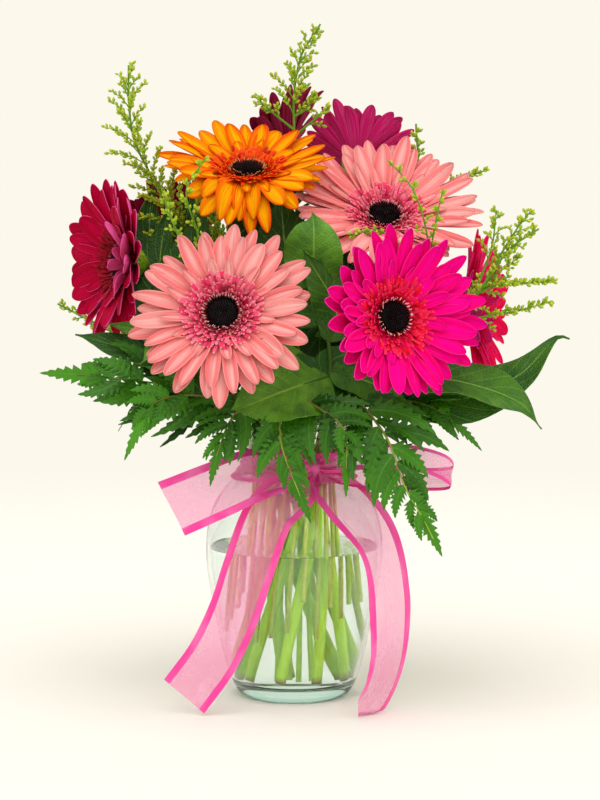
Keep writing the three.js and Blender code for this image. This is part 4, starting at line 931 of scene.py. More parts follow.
def floret_ring(head, rng, count, root, length, lean, width, base):
    """Narrow strap florets on a ring: each leaves its root at the lean angle, bends outwards by the square
    of the way along, is a little channelled and ends in a narrow tip."""
    angle = 2 * math.pi * (np.arange(count) + rng.random(count) * 0.8) / count
    length = length * (0.75 + 0.5 * rng.random(count))
    lean = math.radians(lean) + rng.normal(0, 0.2, count)
    start = root + rng.normal(0, 0.6, count)
    sway = rng.normal(0, 0.8, count)
    angle, length, lean, start, sway = (a[:, None, None] for a in (angle, length, lean, start, sway))
    v = np.array([0, 0.4, 0.8, 1])[None, :, None]
    u = np.linspace(1, -1, 3)[None, None, :]
    half = 0.5 * width * np.array([0.6, 0.9, 1.0, 0.35])[None, :, None]
    out = start + length * np.cos(lean) * (v + 0.15 * v**2)
    aside = u * half + sway * v
    x, y = swung(out, aside, angle)
    foot_x, foot_y = start * np.cos(angle), start * np.sin(angle)
    z = base + bowl(head, foot_x, foot_y, head["cup"] + 10) + length * np.sin(lean) * (v - 0.15 * v**2)
    z = z + 0.4 * half * u**2
    return np.stack([x, y, z], -1)


def eye_dome(radius):
    """Height of the eye at a radius: a low dome, dimpled in the middle and steep at the rim."""
    return EYE_FLOOR + np.interp(radius, *EYE_PROFILE.T)


def head_stem(head):
    """A stem's line: straight through water and neck, then a cubic Bezier curve up into the calyx."""
    axes, hub = head_axes(head)
    top = hub - CALYX_DEPTH * axes[2]
    foot, bend, neck = run(head["slot"], STEM_RUN)
    rise, length = unit(neck - foot), np.linalg.norm(neck - top)
    t = np.array([0.22, 0.42, 0.6, 0.78, 1.0])[:, None]
    curve = ((1 - t) ** 3 * neck + 3 * (1 - t) ** 2 * t * (neck + 0.4 * length * rise)
             + 3 * (1 - t) * t**2 * (top - 0.42 * length * axes[2]) + t**3 * top)
    return spline([foot, bend, neck, *curve], 64)


def free_of_heads(points):
    """Which rows of points[row, place] keep out of all petals: inside a head's radius none of them lies from
    5 mm under its bowl to 12 mm over it."""
    free = np.ones(len(points), bool)
    for head in HEADS.values():
        axes, hub = head_axes(head)
        x, y, z = np.moveaxis((points - hub) @ axes.T, -1, 0)
        over = z - bowl(head, x, y, head["cup"])
        free &= ~((np.hypot(x, y) < head["radius"] + 2) & (over > -5) & (over < 12)).any(axis=1)
    return free


class BOUQUET_OT_gerberas(bpy.types.Operator):
    """Makes every gerbera: rays, small florets, eye, styles, and stem with its calyx"""

    bl_idname = "bouquet.gerberas"
    bl_label = "Gerberas"

    def execute(self, context):
        sizes = context.scene.bouquet_flowers
        thickness = sizes.petal_thickness / MM
        stem_radius = sizes.stem_radius / MM
        finishes = {kind: [make(kind, colours) for make in (petal_finish, floret_finish, style_finish)]
                    for kind, colours in KINDS.items()}
        eyes = {"eye_dark": eye_finish("nearly_black_buds", "#0A0104", "#3C0C18"),
                "eye_brown": eye_finish("brown_maroon_buds", "#0E0202", "#380E06")}
        stem_skin = stem_finish()
        for order, (name, head) in enumerate(HEADS.items()):
            rng = np.random.default_rng(100 + order)
            axes, hub = head_axes(head)
            petal, floret, style = finishes[head["kind"]]
            self.rays(name, head, rng, axes, hub, thickness, petal)
            self.crown(name, head, rng, axes, hub, floret)
            self.eye(name, head, rng, axes, hub, sizes.buds, eyes, style)
            self.stem(name, head, rng, axes, hub, stem_radius, stem_skin)
        return {"FINISHED"}

    def rays(self, name, head, rng, axes, hub, thickness, skin):
        """Three rows of petals, each with its number, offset, reach, height of the roots, tilt, width and
        closing turn."""
        parts = Parts()
        count, radius, cup, width = head["petals"], head["radius"], head["cup"], head["width"]
        rows = [(count, 0.0, radius, 0.3, cup, width, 8),
                (count, 0.5, 0.91 * radius, 2.0, cup + 4, width, 19),
                (max(7, int(0.6 * count)), 0.25, 0.62 * radius, 2.9, cup + 7, 0.62 * width, 24)]
        for row in rows:
            grid = ray_row(head, rng, *row)
            parts.blades(grid @ axes + hub, thickness, rng.random(row[0]))
        parts.make("gerbera_rays_" + name, skin, KINDS[head["kind"]]["slot"], "rays_" + name)

    def crown(self, name, head, rng, axes, hub, skin):
        """Six rings of small florets: those near the eye stand up and get a low tone that paints its shade on
        them, those further out lean over the petals' roots."""
        parts = Parts()
        for count, root, length, lean, width, base, tone in FLORET_RINGS:
            grid = floret_ring(head, rng, count, root, length, lean, width, base)
            tones = np.clip(tone + 0.3 * rng.normal(size=count), 0, 1)
            parts.blades(grid @ axes + hub, FLORET_THICKNESS, tones)
        parts.make("gerbera_florets_" + name, skin, KINDS[head["kind"]]["slot"])

    def eye(self, name, head, rng, axes, hub, count, skins, style):
        """A dome, buds set by the golden angle at radii that grow with the square root of their number,
        and pale styles round the rim."""
        parts = Parts()
        radii = np.concatenate([[EYE_RADIUS], EYE_PROFILE[:0:-1, 0], [1]])
        heights = np.concatenate([[4.6], eye_dome(radii[1:])])
        angle = np.linspace(0, 2 * math.pi, 32, endpoint=False)
        parts.rings((turned(radii[:, None], angle, heights[:, None]) @ axes + hub)[None], 0.0)
        k = np.arange(count)
        radius, turn = 9.9 * np.sqrt((k + 0.5) / count), GOLDEN_TURN * k
        foot = turned(radius, turn, eye_dome(radius) - 0.5)
        lean = turned(0.07 * radius, turn, 1)
        tall = 1.7 + 0.5 * rng.random(count) + 0.9 * (radius > 8)
        line = foot[:, None] + unit(lean)[:, None] * (tall[:, None] * np.array([0, 0.5, 0.8, 1.0]))[..., None]
        parts.tubes(line @ axes + hub, 0.6 * np.array([0.8, 1.0, 0.8, 0.25]), 5, rng.random(count))
        slot = "eye_brown" if head["kind"] == "orange" else "eye_dark"
        parts.make("gerbera_eye_" + name, skins[slot], slot, "eye_" + name)
        parts = Parts()
        turn = 2 * math.pi * (np.arange(STYLES) + 0.8 * rng.random(STYLES)) / STYLES
        radius = 9.4 + 1.6 * rng.random(STYLES)
        tall = 3.0 + 1.6 * rng.random(STYLES)
        t = np.linspace(0, 1, 5)[None, :]
        out = radius[:, None] + 0.55 * tall[:, None] * t**1.3
        turn = turn[:, None] + 0.06 * rng.normal(size=STYLES)[:, None] * t
        line = turned(out, turn, eye_dome(radius)[:, None] + tall[:, None] * (t - 0.2 * t**2))
        parts.tubes(line @ axes + hub, np.array([0.24, 0.24, 0.24, 0.3, 0.22]), 4, rng.random(STYLES))
        parts.make("gerbera_styles_" + name, style, KINDS[head["kind"]]["slot"])

    def stem(self, name, head, rng, axes, hub, radius, skin):
        """The stem, the cup that widens from it, and three rows of pointed bracts that lie on the cup."""
        parts = Parts()
        line = head_stem(head)
        parts.tubes(line[None], radius * (1.04 - 0.1 * np.linspace(0, 1, len(line))), 14, rng.random())
        height, cup = CUP_PROFILE.T
        parts.tubes((height[:, None] * axes[2] + hub)[None], cup, 20)
        for row, (count, root, tip) in enumerate(BRACT_ROWS):
            turn = 2 * math.pi * (np.arange(count) + 0.5 * row + 0.2 * rng.random(count)) / count
            v = np.linspace(0, 1, 6)[None, :, None]
            u = np.linspace(1, -1, 3)[None, None, :]
            z = root + (tip - root) * v
            out = np.interp(z, height, cup) + 0.6 + 0.5 * v**3
            half = 1.25 * np.array([0.8, 1.0, 1.0, 0.8, 0.45, 0.08])[None, :, None] * u / np.maximum(out, 1)
            grid = turned(out, turn[:, None, None] + half, z)
            parts.blades(grid[:, :, ::-1] @ axes + hub, BRACT_THICKNESS, 0.3 + 0.4 * rng.random(count))
        parts.make("gerbera_stem_" + name, skin, "flower_stem", "stem_" + name)


def leaf_grid(line, face, width, rng, rows=34, columns=13):
    """A broad leaf: half its width is a sine of the way along, drawn out towards the tip, with fine
    forward teeth; it folds up along its midrib, and a few waves run along its edges."""
    _, across, out = rails(line, unit(np.array(face, float)))
    v = np.linspace(0, 1, rows)[:, None]
    u = np.linspace(-1, 1, columns)[None, :]
    half = 0.5 * width * np.maximum(0.03, np.sin(math.pi * v**0.78) ** (0.7 + 0.8 * v**2))
    teeth = 0.012 * width * ((v * 26) % 1) * np.sin(math.pi * v)
    phase = rng.random(2) * 2 * math.pi
    wave = 0.09 * width * np.sin(2 * math.pi * 1.6 * v + phase[0] + 1.2 * np.sign(u)) * np.abs(u) ** 2.2
    pucker = 0.012 * width * np.cos(2 * math.pi * 9 * (v - 0.2 * np.abs(u))) * np.abs(u) * (1 - np.abs(u))
    lift = (0.2 * half * np.abs(u) ** 0.85 + (wave + 4 * pucker) * np.sin(math.pi * v) ** 0.5)
    aside = u * (half + teeth * np.abs(u) ** 6)
    return line[:, None] + across[:, None] * aside[..., None] + out[:, None] * lift[..., None]


class BOUQUET_OT_salal(bpy.types.Operator):
    """Makes the salal twigs with their broad leaves"""

    bl_idname = "bouquet.salal"
    bl_label = "Salal"

    def execute(self, context):
        thickness = context.scene.bouquet_foliage.leaf_thickness / MM
        leaf_skin = leaf_finish()
        twig_skin = woody_finish("young_salal_bark", "#8CA434", "#CCD85C", "#446420")
        for order, (name, plant) in enumerate(SALAL.items()):
            rng = np.random.default_rng(200 + order)
            path = spline(over_rim(plant["slot"]) + plant["twig"], 60)
            blades, wood = Parts(), Parts()
            wood.tubes(path[None], STALK_RADIUS * (1.1 - 0.25 * np.linspace(0, 1, 60)), 8)
            for share, points, face, width, tone in plant["leaves"]:
                root, _ = on_line(path, share)
                line = spline([root, *points], 34)
                blades.blades(leaf_grid(line, face, width, rng)[None], thickness, tone)
                wood.tubes(line[None, :10], np.linspace(1.1, 0.5, 10), 6)
            blades.make(name + "_leaves", leaf_skin, "salal_leaf", name)
            wood.make(name + "_twig", twig_skin, "salal_leaf")
        return {"FINISHED"}


def leaflets(rib, face, width, pairs, lobes, rng, columns=5):
    """Leaflets of a frond, alternate along its rib, and one at its end. Each leaves the rib sideways and
    bends forwards and down. Its edge rises straight to a tooth and falls back to a notch once for each
    lobe; notches are deep at the root and shallow at the tip, and the sides are drawn forwards, so that the
    teeth point that way."""
    along, across, out = rails(rib, unit(np.array(face, float)))
    spacing = np.linalg.norm(np.diff(rib, axis=0), axis=1).sum() / pairs
    k = np.arange(2 * pairs + 1)
    last = k == 2 * pairs
    place = np.where(last, 0.8, 0.86 * (k // 2 + 0.1 + 0.5 * (k % 2)) / pairs)
    side = np.where(k % 2, 1.0, -1.0)[:, None]
    step = np.linspace(0, 1, len(rib))
    at, forward, aside, up = (read(place, step, rows) for rows in (rib, along, across, out))
    long = 0.68 * width * (1.12 - 0.9 * place) * np.minimum(1, 0.8 + 2 * place)
    long = (np.where(last, 0.6 * width, long) * (0.85 + 0.3 * rng.random(len(k))))[:, None]
    sweep = np.where(last, 1.57, np.radians(24 + 22 * place + rng.normal(0, 7, len(k))))[:, None]
    v = np.linspace(0, 1, 5 * lobes + 1)[None, :]
    bend = sweep + np.where(last, 0, 0.4)[:, None] * v
    mid = (at[:, None] + (long * v * np.cos(bend))[..., None] * (side * aside)[:, None]
           + (long * v * np.sin(bend))[..., None] * forward[:, None]
           - ((0.08 + 0.24 * rng.random((len(k), 1))) * long * v**2)[..., None] * up[:, None])
    phase = (v * lobes) % 1
    tooth = np.where(phase < 0.6, phase / 0.6, (1 - phase) / 0.4)
    taper = np.minimum(1, 0.6 + 4 * v) * (1 - v**1.4)
    wide = np.where(last, 0.19, 0.29)[:, None] * long
    half = np.minimum(wide, 0.85 * spacing) * taper * (1 - (0.62 - 0.3 * v) * (1 - tooth)) + 0.15
    heading = unit(np.gradient(mid, axis=1))
    roll = 0.35 * rng.normal(size=(len(k), 1, 1))
    flat = unit(np.cross(heading, up[:, None]))
    right = unit(flat + roll * np.cross(flat, heading))
    outward = np.cross(right, heading)
    u = np.linspace(-1, 1, columns)
    lift = (0.3 * np.abs(u) - 0.2 * u**4) * half[..., None]
    grid = (mid[:, :, None] + (u * half[..., None])[..., None] * right[:, :, None]
            + (0.65 * np.abs(u) * half[..., None])[..., None] * heading[:, :, None]
            + lift[..., None] * outward[:, :, None])
    # The tone is low for leaflets near the frond's base, painting the shade deep in the bunch, and higher
    # towards its tip, with a random spread.
    return grid, np.clip(0.1 + 0.75 * place + 0.5 * (rng.random(len(k)) - 0.5), 0, 1)


class BOUQUET_OT_ferns(bpy.types.Operator):
    """Makes the fern fronds with their toothed leaflets"""

    bl_idname = "bouquet.ferns"
    bl_label = "Ferns"

    def execute(self, context):
        sizes = context.scene.bouquet_foliage
        blade_skin = fern_finish()
        rib_skin = woody_finish("fern_rib_skin", "#7CA030", "#BCC854", "#747C30")
        for order, (name, (slot, points, face, width, pairs)) in enumerate(FERNS.items()):
            rng = np.random.default_rng(300 + order)
            rib = spline(points, 40)
            path = spline(over_rim(slot) + points[:1], 40)
            fronds, stalk = Parts(), Parts()
            grid, tone = leaflets(rib, face, width, pairs, sizes.lobes, rng)
            fronds.blades(grid, FERN_THICKNESS, tone)
            stalk.tubes(path[None], STALK_RADIUS, 8)
            stalk.tubes(rib[None], np.linspace(1.0, 0.3, 40), 6)
            fronds.make(name + "_leaflets", blade_skin, "fern_frond", name)
            stalk.make(name + "_stalk", rib_skin, "fern_frond")
        return {"FINISHED"}


class BOUQUET_OT_solidago(bpy.types.Operator):
    """Makes the solidago sprays: stalks, arched branchlets, buds and narrow leaves"""

    bl_idname = "bouquet.solidago"
    bl_label = "Solidago"

    def execute(self, context):
        radius = context.scene.bouquet_foliage.bud_radius / MM
        bud_skin = bud_finish()
        stalk_skin = woody_finish("green_solidago_stalk", "#84B42C", "#B4D444", "#6C9C28")
        leaf_skin = woody_finish("narrow_solidago_leaf", "#1E4A0A", "#4A7E1E", "#3E7C1C")
        for order, (name, spray) in enumerate(SOLIDAGO.items()):
            rng = np.random.default_rng(400 + order)
            stand = over_rim(spray["slot"]) if "slot" in spray else run(spray["tall"], TALL_RUN)
            main = spline(stand + spray["main"], 90)
            stalks = [(main, spray["start"], STALK_RADIUS, spray["count"], spray["reach"])]
            for share, count, longest, points in spray.get("side", []):
                stalks.append((spline([on_line(main, share)[0], *points], 30), 0.3, 0.9, count, longest))
            wood, buds, leaves = Parts(), Parts(), Parts()
            for line, start, thick, count, longest in stalks:
                wood.tubes(line[None], thick * (1.05 - 0.6 * np.linspace(0, 1, len(line))), 7)
                twigs, reach = self.branchlets(line, start, count, longest, rng)
                wood.tubes(twigs, np.linspace(0.5, 0.25, twigs.shape[1]), 4)
                self.beads(buds, twigs, reach, radius, rng)
            self.leaves(leaves, main, spray["start"] - 0.06, rng)
            buds.make(name + "_buds", bud_skin, "solidago_bud", name)
            leaves.make(name + "_leaves", leaf_skin, "fern_frond")
            wood.make(name + "_stalks", stalk_skin, "solidago_bud")
        return {"FINISHED"}

    def branchlets(self, line, start, count, longest, rng, steps=9):
        """Branchlets turned on by the golden angle: each leaves the stalk sideways and upwards, arches over
        by the square of the way along, and is shorter the nearer it grows to the stalk's tip. Those that
        would run through petals are left out."""
        k = np.arange(count)
        share = start + (0.985 - start) * ((k + 0.6) / count) ** 0.9
        index = share * (len(line) - 1)
        at = read(index, np.arange(len(line)), line)
        low = np.minimum(index.astype(int), len(line) - 2)
        along = unit(line[low + 1] - line[low])
        turn = GOLDEN_TURN * k + rng.normal(0, 0.2, count)
        side = square_to(turned(1, turn, 0.1), along)
        reach = longest * (1.05 - 0.82 * ((k + 0.5) / count) ** 0.8) * (0.7 + 0.45 * rng.random(count))
        t = np.linspace(0, 1, steps)[None, :, None]
        arch = side[:, None] * (0.5 * t + 0.14 * t**2) + along[:, None] * (0.95 * t - 0.2 * t**2)
        sag = np.array([0, 0, -1]) * 0.06 * t**2
        twigs = at[:, None] + reach[:, None, None] * (arch + sag)
        free = free_of_heads(twigs)
        return twigs[free], reach[free]

    def beads(self, parts, twigs, reach, radius, rng):
        """Buds on the outer four fifths of each branchlet, one every 1.8 mm, on short stalks that turn round
        it by 144 degrees from one to the next and lean forwards."""
        lines, sizes, tones = [], [], []
        for twig, long in zip(twigs, reach):
            count = max(4, int(long / 1.8))
            where = np.linspace(0.22, 1.0, count) * (len(twig) - 1)
            at = read(where, np.arange(len(twig)), twig)
            along = unit(twig[-1] - twig[0])
            turn = math.pi * 0.8 * np.arange(count) + rng.random() * 6
            side = unit(np.cross(along, (0.2, 0.3, 0.93)))
            other = np.cross(along, side)
            lean = np.cos(turn)[:, None] * side + np.sin(turn)[:, None] * other + 1.1 * along + (0, 0, 0.3)
            size = radius * (0.75 + 0.5 * rng.random(count))
            far = 0.3 + 1.7 * rng.random(count)[:, None] * np.linspace(1, 0.3, count)[:, None]
            step = np.concatenate([0 * far, far, far + 1.3 * size[:, None], far + 2.6 * size[:, None]], 1)
            lines.append(at[:, None] + unit(lean)[:, None] * step[..., None])
            sizes.append(size)
            tones.append(rng.random(count))
        radii = np.concatenate(sizes)[:, None] * np.array([0.22, 0.55, 1.0, 0.3])
        parts.tubes(np.concatenate(lines), radii, 5, np.concatenate(tones))

    def leaves(self, parts, line, start, rng):
        """Narrow leaves from the rim up to the branchlets, turned on by the golden angle, curving out from
        the stalk and tapered to a tip."""
        low = np.searchsorted(line[:, 2], LEAVES_FROM) / (len(line) - 1)
        long = np.linalg.norm(np.diff(line, axis=0), axis=1).sum()
        count = int(max(6, (start - low) * long / 1.8))
        k = np.arange(count)
        place = low + (start - low) * (k + rng.random(count)) / count
        index = np.minimum(place * (len(line) - 1), len(line) - 1.01)
        at = read(index, np.arange(len(line)), line)
        along = unit(line[index.astype(int) + 1] - line[index.astype(int)])
        turn = GOLDEN_TURN * k + rng.random()
        side = square_to(turned(1, turn, 0.2), along)
        long = ((24 + 18 * rng.random(count)) * (1 - 0.4 * (place - low) / (start - low)))[:, None, None]
        v = np.linspace(0, 1, 7)[None, :, None]
        mid = at[:, None] + long * (side[:, None] * (0.7 * v + 0.2 * v**2)
                                    + along[:, None] * (0.8 * v - 0.5 * v**2))
        heading = unit(np.gradient(mid, axis=1))
        right = unit(np.cross(heading, along[:, None]))
        outward = np.cross(right, heading)
        u = np.linspace(-1, 1, 3)[None, None, :, None]
        half = 2.9 * (np.sin(math.pi * (0.08 + 0.9 * v)) ** 0.8)[..., None]
        grid = (mid[:, :, None] + right[:, :, None] * (u * half)
                + outward[:, :, None] * (0.3 * half * np.abs(u)))
        free = free_of_heads(mid)
        parts.blades(grid[free], NARROW_LEAF_THICKNESS, rng.random(count)[free])


def vase_radius(height):
    """The vase's outer radius at a height, on the smooth curve through its measured points."""
    curve = spline(VASE_OUTSIDE, 400)
    return np.interp(height, curve[:, 1], curve[:, 0])


def inner_corner(wall, base, gap):
    """The radius where the inner floor starts to turn up, and the round from the wall down to that floor,
    kept off the glass by a gap."""
    turn = np.radians([20, 45, 70, 90])
    flat = vase_radius(base + CORNER) - wall - CORNER
    return flat, np.column_stack([flat + (CORNER - gap) * np.cos(turn),
                                  base + CORNER - (CORNER - gap) * np.sin(turn)])


class BOUQUET_OT_vase(bpy.types.Operator):
    """Makes the glass vase and the water in it"""

    bl_idname = "bouquet.vase"
    bl_label = "Vase and water"

    def execute(self, context):
        sizes = context.scene.bouquet_vase
        wall, base, level = sizes.wall / MM, sizes.base / MM, sizes.water_level / MM
        self.glass(wall, base, glass_finish(sizes.tint))
        self.water(wall, base, level, water_finish())
        return {"FINISHED"}

    def glass(self, wall, base, skin):
        """The outer curve from the foot up, a round lip, and the same curve set in by the wall down to the
        thick base, turned round the axis."""
        up = np.linspace(0.8, LIP_AT, 60)
        outer = np.column_stack([vase_radius(up), up])
        lip_turn = np.linspace(0, math.pi, 9)[1:-1]
        lip = np.column_stack([outer[-1, 0] - wall / 2 + wall / 2 * np.cos(lip_turn) - 0.3,
                               LIP_AT + (VASE_RIM - LIP_AT) * np.sin(lip_turn)])
        down = np.linspace(LIP_AT - 0.5, base + CORNER, 54)
        inner = np.column_stack([vase_radius(down) - wall, down])
        foot_radius, floor = inner_corner(wall, base, 0)
        middle = np.array([(0.6 * foot_radius, base - 0.3), (0.25 * foot_radius, base - 0.5)])
        under = np.array([(8, 1.2), (22, 1.0), (33, 0.4), (35.2, 0), (36.4, 0.2)])
        parts = Parts()
        parts.lathe(np.concatenate([under, outer, lip, inner, floor, middle]), 128)
        parts.make("glass_vase", skin, "vase_glass", "vase", smooth=70)

    def water(self, wall, base, level, skin):
        """Water up to the inner wall with a hair's gap, and a rim that climbs the glass by 0.8 mm."""
        gap = 0.12
        up = np.linspace(base + CORNER, level, 34)
        side = np.column_stack([vase_radius(up) - wall - gap, up])
        foot_radius, floor = inner_corner(wall, base, gap)
        edge = side[-1, 0]
        top = np.array([(edge, level + 0.8), (edge - 0.8, level + 0.35), (edge - 2, level + 0.08),
                        (edge - 4, level), (0.5 * edge, level), (3, level)])
        parts = Parts()
        parts.lathe(np.concatenate([[(0.3 * foot_radius, base + gap)], floor[::-1], side, top]), 128)
        parts.make("vase_water", skin, "water", "water", smooth=40)


class BOUQUET_OT_ribbon(bpy.types.Operator):
    """Makes the organza bow: band, knot, three tails and a loop"""

    bl_idname = "bouquet.ribbon"
    bl_label = "Ribbon"

    def execute(self, context):
        sizes = context.scene.bouquet_ribbon
        width = sizes.width / MM
        satin = 2 * sizes.satin_edge / sizes.width
        skin = ribbon_finish(tuple(sizes.body_colour), tuple(sizes.edge_colour), sizes.sheer, satin)
        for order, (name, strip) in enumerate(STRIPS.items()):
            rng = np.random.default_rng(500 + order)
            grid, long = self.strip(width, rng, *strip)
            parts = Parts()
            parts.blades(grid[None], RIBBON_THICKNESS, 0.5)
            nodes = ["ribbon_bow"] if order == 0 else []
            piece = parts.make(name, skin, "ribbon", *nodes, smooth=70)
        self.band(width, skin)
        self.knot(satin_finish(tuple(sizes.edge_colour)))
        return {"FINISHED"}

    def strip(self, width, rng, points, face, shown, slant, opens, twist, rows=110, columns=29):
        """A strip along its line: gathered at the knot, where pleats stand up as a cosine across it and fall
        off with the distance over `opens`, and slowly waved along its length, more at the edges than in the
        middle. From 0.55 of the way on it turns about its line, up to `twist` degrees at the end. A loop
        keeps its width upright while it turns back; an end that reaches the floor lies on it."""
        line = spline(points, rows)
        long = np.linalg.norm(np.diff(line, axis=0), axis=1).sum()
        along, across, out = rails(line, unit(np.array(face, float)))
        if not opens:
            across = square_to(across[0], along)
            out = np.cross(across, along)
        v = np.linspace(0, 1, rows)[:, None]
        u = np.linspace(-1, 1, columns)[None, :]
        turn = math.radians(twist) * np.maximum(0, (v - 0.55) / 0.45) ** 1.5
        across, out = (np.cos(turn) * across + np.sin(turn) * out, np.cos(turn) * out - np.sin(turn) * across)
        near = long * (v if opens else np.minimum(v, 1 - v))
        gather = np.exp(-near / (opens or 11))
        half = 0.5 * width * shown * (1 - 0.62 * gather)
        pleat = 2.6 * gather * np.cos(2.5 * math.pi * u + 1)
        free = 1 - np.exp(-near / 30)
        phase = rng.random(4) * 6
        wave = free * (1.6 * np.sin(5 * v + phase[0]) * u + 1.0 * np.sin(11 * v + phase[1]) * u**2
                       + 1.2 * np.sin(2.2 * u + 7 * v + phase[2]) + 0.35 * np.sin(5 * u + 16 * v + phase[3]))
        end = slant * half * u * np.maximum(0, (v - 0.75) / 0.25) ** 1.5
        grid = (line[:, None] + across[:, None] * (u * half)[..., None]
                + out[:, None] * (pleat + wave)[..., None] + along[:, None] * end[..., None])
        grid[..., 2] = np.maximum(grid[..., 2], 0.9)
        return grid, long

    def band(self, width, skin):
        """The band lies round the neck, gathered into soft pleats."""
        rows, columns = 120, 21
        angle = np.radians(-72) - np.linspace(0, 2 * math.pi * BAND_TURNS, rows)[:, None]
        u = np.linspace(0, 1, columns)[None, :]
        height = BAND_BOTTOM + (BAND_TOP - BAND_BOTTOM) * u + 0.6 * np.sin(3 * angle)
        pleat = 1.1 * (1 + np.cos(2 * math.pi * 4 * u + 1.5 * np.sin(2 * angle)))
        radius = vase_radius(height) + BAND_CLEARANCE + pleat + 0.4 * np.linspace(0, 1, rows)[:, None]
        grid = turned(radius, angle, height)
        parts = Parts()
        parts.blades(grid[None], RIBBON_THICKNESS, 0.5)
        piece = parts.make("ribbon_band", skin, "ribbon", smooth=70)
        length = 2 * math.pi * BAND_TURNS * (vase_radius(NECK) + 2)

    def knot(self, skin):
        """The knot: an ellipsoid whose radius swells and sinks with the turns of the ribbon round it."""
        turn = np.linspace(0, 2 * math.pi, 40, endpoint=False)[None, :]
        rise = np.linspace(-0.47 * math.pi, 0.47 * math.pi, 25)[:, None]
        fold = 1 + 0.07 * np.cos(5 * rise + 2 * np.sin(turn)) + 0.04 * np.cos(3 * turn)
        rx, ry, rz = KNOT_RADII
        ring = np.stack([rx * fold * np.cos(rise) * np.cos(turn) + KNOT_AT[0],
                         ry * fold * np.cos(rise) * np.sin(turn) + KNOT_AT[1],
                         rz * fold * np.sin(rise) + KNOT_AT[2] + 0 * turn], -1)
        parts = Parts()
        parts.rings(ring[None], 0.5)
        parts.make("ribbon_knot", skin, "ribbon", smooth=70)


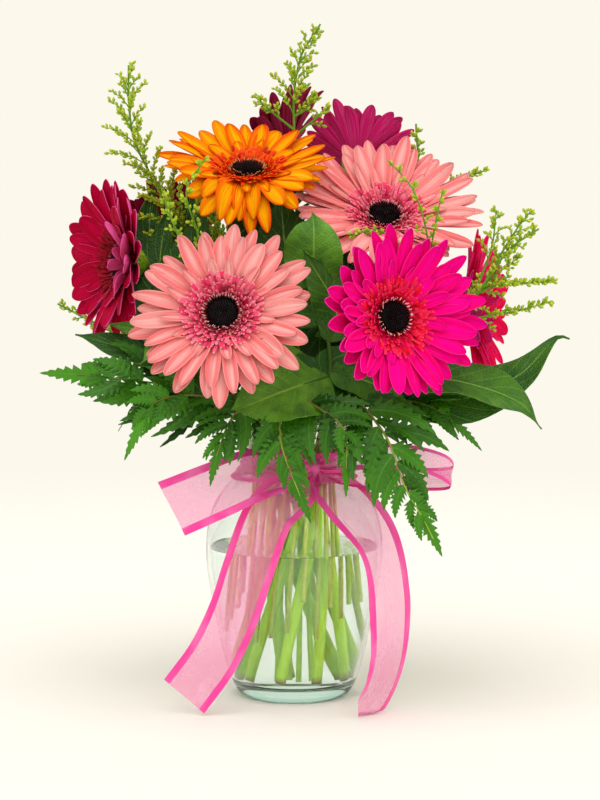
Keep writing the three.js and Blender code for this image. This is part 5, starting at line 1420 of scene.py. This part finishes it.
class BOUQUET_OT_stage(bpy.types.Operator):
    """Makes the pale floor, the background, the soft lights and the camera"""

    bl_idname = "bouquet.stage"
    bl_label = "Stage"

    def execute(self, context):
        settings = context.scene.bouquet_stage
        self.floor(context, settings)
        self.lights(context, settings)
        self.camera(context)
        context.scene.view_settings.view_transform = "Standard"
        return {"FINISHED"}

    def floor(self, context, settings):
        """A square of 6 metres, a hair below the foot."""
        side, low = 3.0, -0.0003
        mesh = bpy.data.meshes.new("studio_floor")
        mesh.from_pydata([(-side, -side, low), (side, -side, low), (side, side, low), (-side, side, low)], [],
                         [(0, 1, 2, 3)])
        mesh.materials.append(floor_finish(tuple(settings.floor), clear_from=0.35, clear_at=1.3))
        floor = bpy.data.objects.new("studio_floor", mesh)
        context.scene.collection.objects.link(floor)

    def lights(self, context, settings):
        """The room's light comes from all round, dimmer than the backdrop that the camera sees; a broad key
        light comes from the upper left front and a weak one from the right."""
        world = bpy.data.worlds.new("studio")
        world.use_nodes = True
        tree = world.node_tree
        path = add(tree, "LightPath").outputs
        seen = add(tree, "Math", {0: path["Is Camera Ray"], 1: path["Is Transmission Ray"]},
                   operation="MAXIMUM")
        strength = add(tree, "MapRange", {0: seen, 3: settings.surround})
        # Lamps can't shine through glass here, so what stands in it gets their light from all round.
        deep = add(tree, "Math", {0: path["Diffuse Depth"], 1: 1.0}, operation="MINIMUM")
        through = add(tree, "Math", {0: path["Is Transmission Ray"], 1: deep}, operation="MULTIPLY")
        total = add(tree, "Math", {0: through, 1: settings.in_glass, 2: strength}, operation="MULTIPLY_ADD")
        feed(tree, tree.nodes["Background"], {"Color": tuple(settings.backdrop), "Strength": total})
        context.scene.world = world
        for name, aim, strength, soft in (("key", (0.15, 0.5, -1.35), settings.key_light, 65),
                                          ("fill", (-1.0, 0.7, -0.5), settings.fill_light, 70)):
            data = bpy.data.lights.new(name, "SUN")
            data.energy, data.angle = strength, math.radians(soft)
            light = bpy.data.objects.new(name, data)
            light.rotation_euler = (math.atan2(math.hypot(aim[0], aim[1]), -aim[2]), 0,
                                    math.atan2(aim[1], aim[0]) - math.pi / 2)
            context.scene.collection.objects.link(light)

    def camera(self, context):
        """The photograph's view: 1.8 m in front, 380 mm high, looking 5.7 degrees down."""
        data = bpy.data.cameras.new("camera")
        data.lens, data.sensor_width, data.sensor_fit = CAMERA_LENS, CAMERA_SENSOR, "AUTO"
        camera = bpy.data.objects.new("camera", data)
        camera.location = CAMERA_AT
        camera.rotation_euler = (math.radians(90 - CAMERA_DOWN), 0, 0)
        context.scene.collection.objects.link(camera)
        context.scene.camera = camera


class BOUQUET_PT_panel(bpy.types.Panel):
    """Lists the sizes and the steps that build the bouquet"""

    bl_idname = "BOUQUET_PT_panel"
    bl_label = "Gerberas in a vase"
    bl_space_type = "VIEW_3D"
    bl_region_type = "UI"
    bl_category = "Bouquet"

    def draw(self, context):
        for operator, group in STEPS.items():
            box = self.layout.box()
            if group:
                settings = getattr(context.scene, group)
                for key in settings.__annotations__:
                    box.prop(settings, key)
            box.operator(operator)


GROUPS = {
    "bouquet_vase": BouquetVase,
    "bouquet_flowers": BouquetFlowers,
    "bouquet_foliage": BouquetFoliage,
    "bouquet_ribbon": BouquetRibbon,
    "bouquet_stage": BouquetStage,
}
STEPS = {
    "bouquet.vase": "bouquet_vase",
    "bouquet.gerberas": "bouquet_flowers",
    "bouquet.salal": "bouquet_foliage",
    "bouquet.ferns": None,
    "bouquet.solidago": None,
    "bouquet.ribbon": "bouquet_ribbon",
    "bouquet.stage": "bouquet_stage",
}
OPERATORS = (
    BOUQUET_OT_vase,
    BOUQUET_OT_gerberas,
    BOUQUET_OT_salal,
    BOUQUET_OT_ferns,
    BOUQUET_OT_solidago,
    BOUQUET_OT_ribbon,
    BOUQUET_OT_stage,
)


def register():
    """Registers the classes and hangs the settings on the scene."""
    for cls in (*GROUPS.values(), *OPERATORS, BOUQUET_PT_panel):
        bpy.utils.register_class(cls)
    for name, cls in GROUPS.items():
        setattr(bpy.types.Scene, name, PointerProperty(type=cls))


def unregister():
    """Takes away the settings and the classes."""
    for name in GROUPS:
        delattr(bpy.types.Scene, name)
    for cls in reversed((*GROUPS.values(), *OPERATORS, BOUQUET_PT_panel)):
        bpy.utils.unregister_class(cls)


def main():
    """Builds the pieces in order."""
    register()
    for step in STEPS:
        group, name = step.split(".")
        getattr(getattr(bpy.ops, group), name)()
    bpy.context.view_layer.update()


if __name__ == "__main__":
    main()
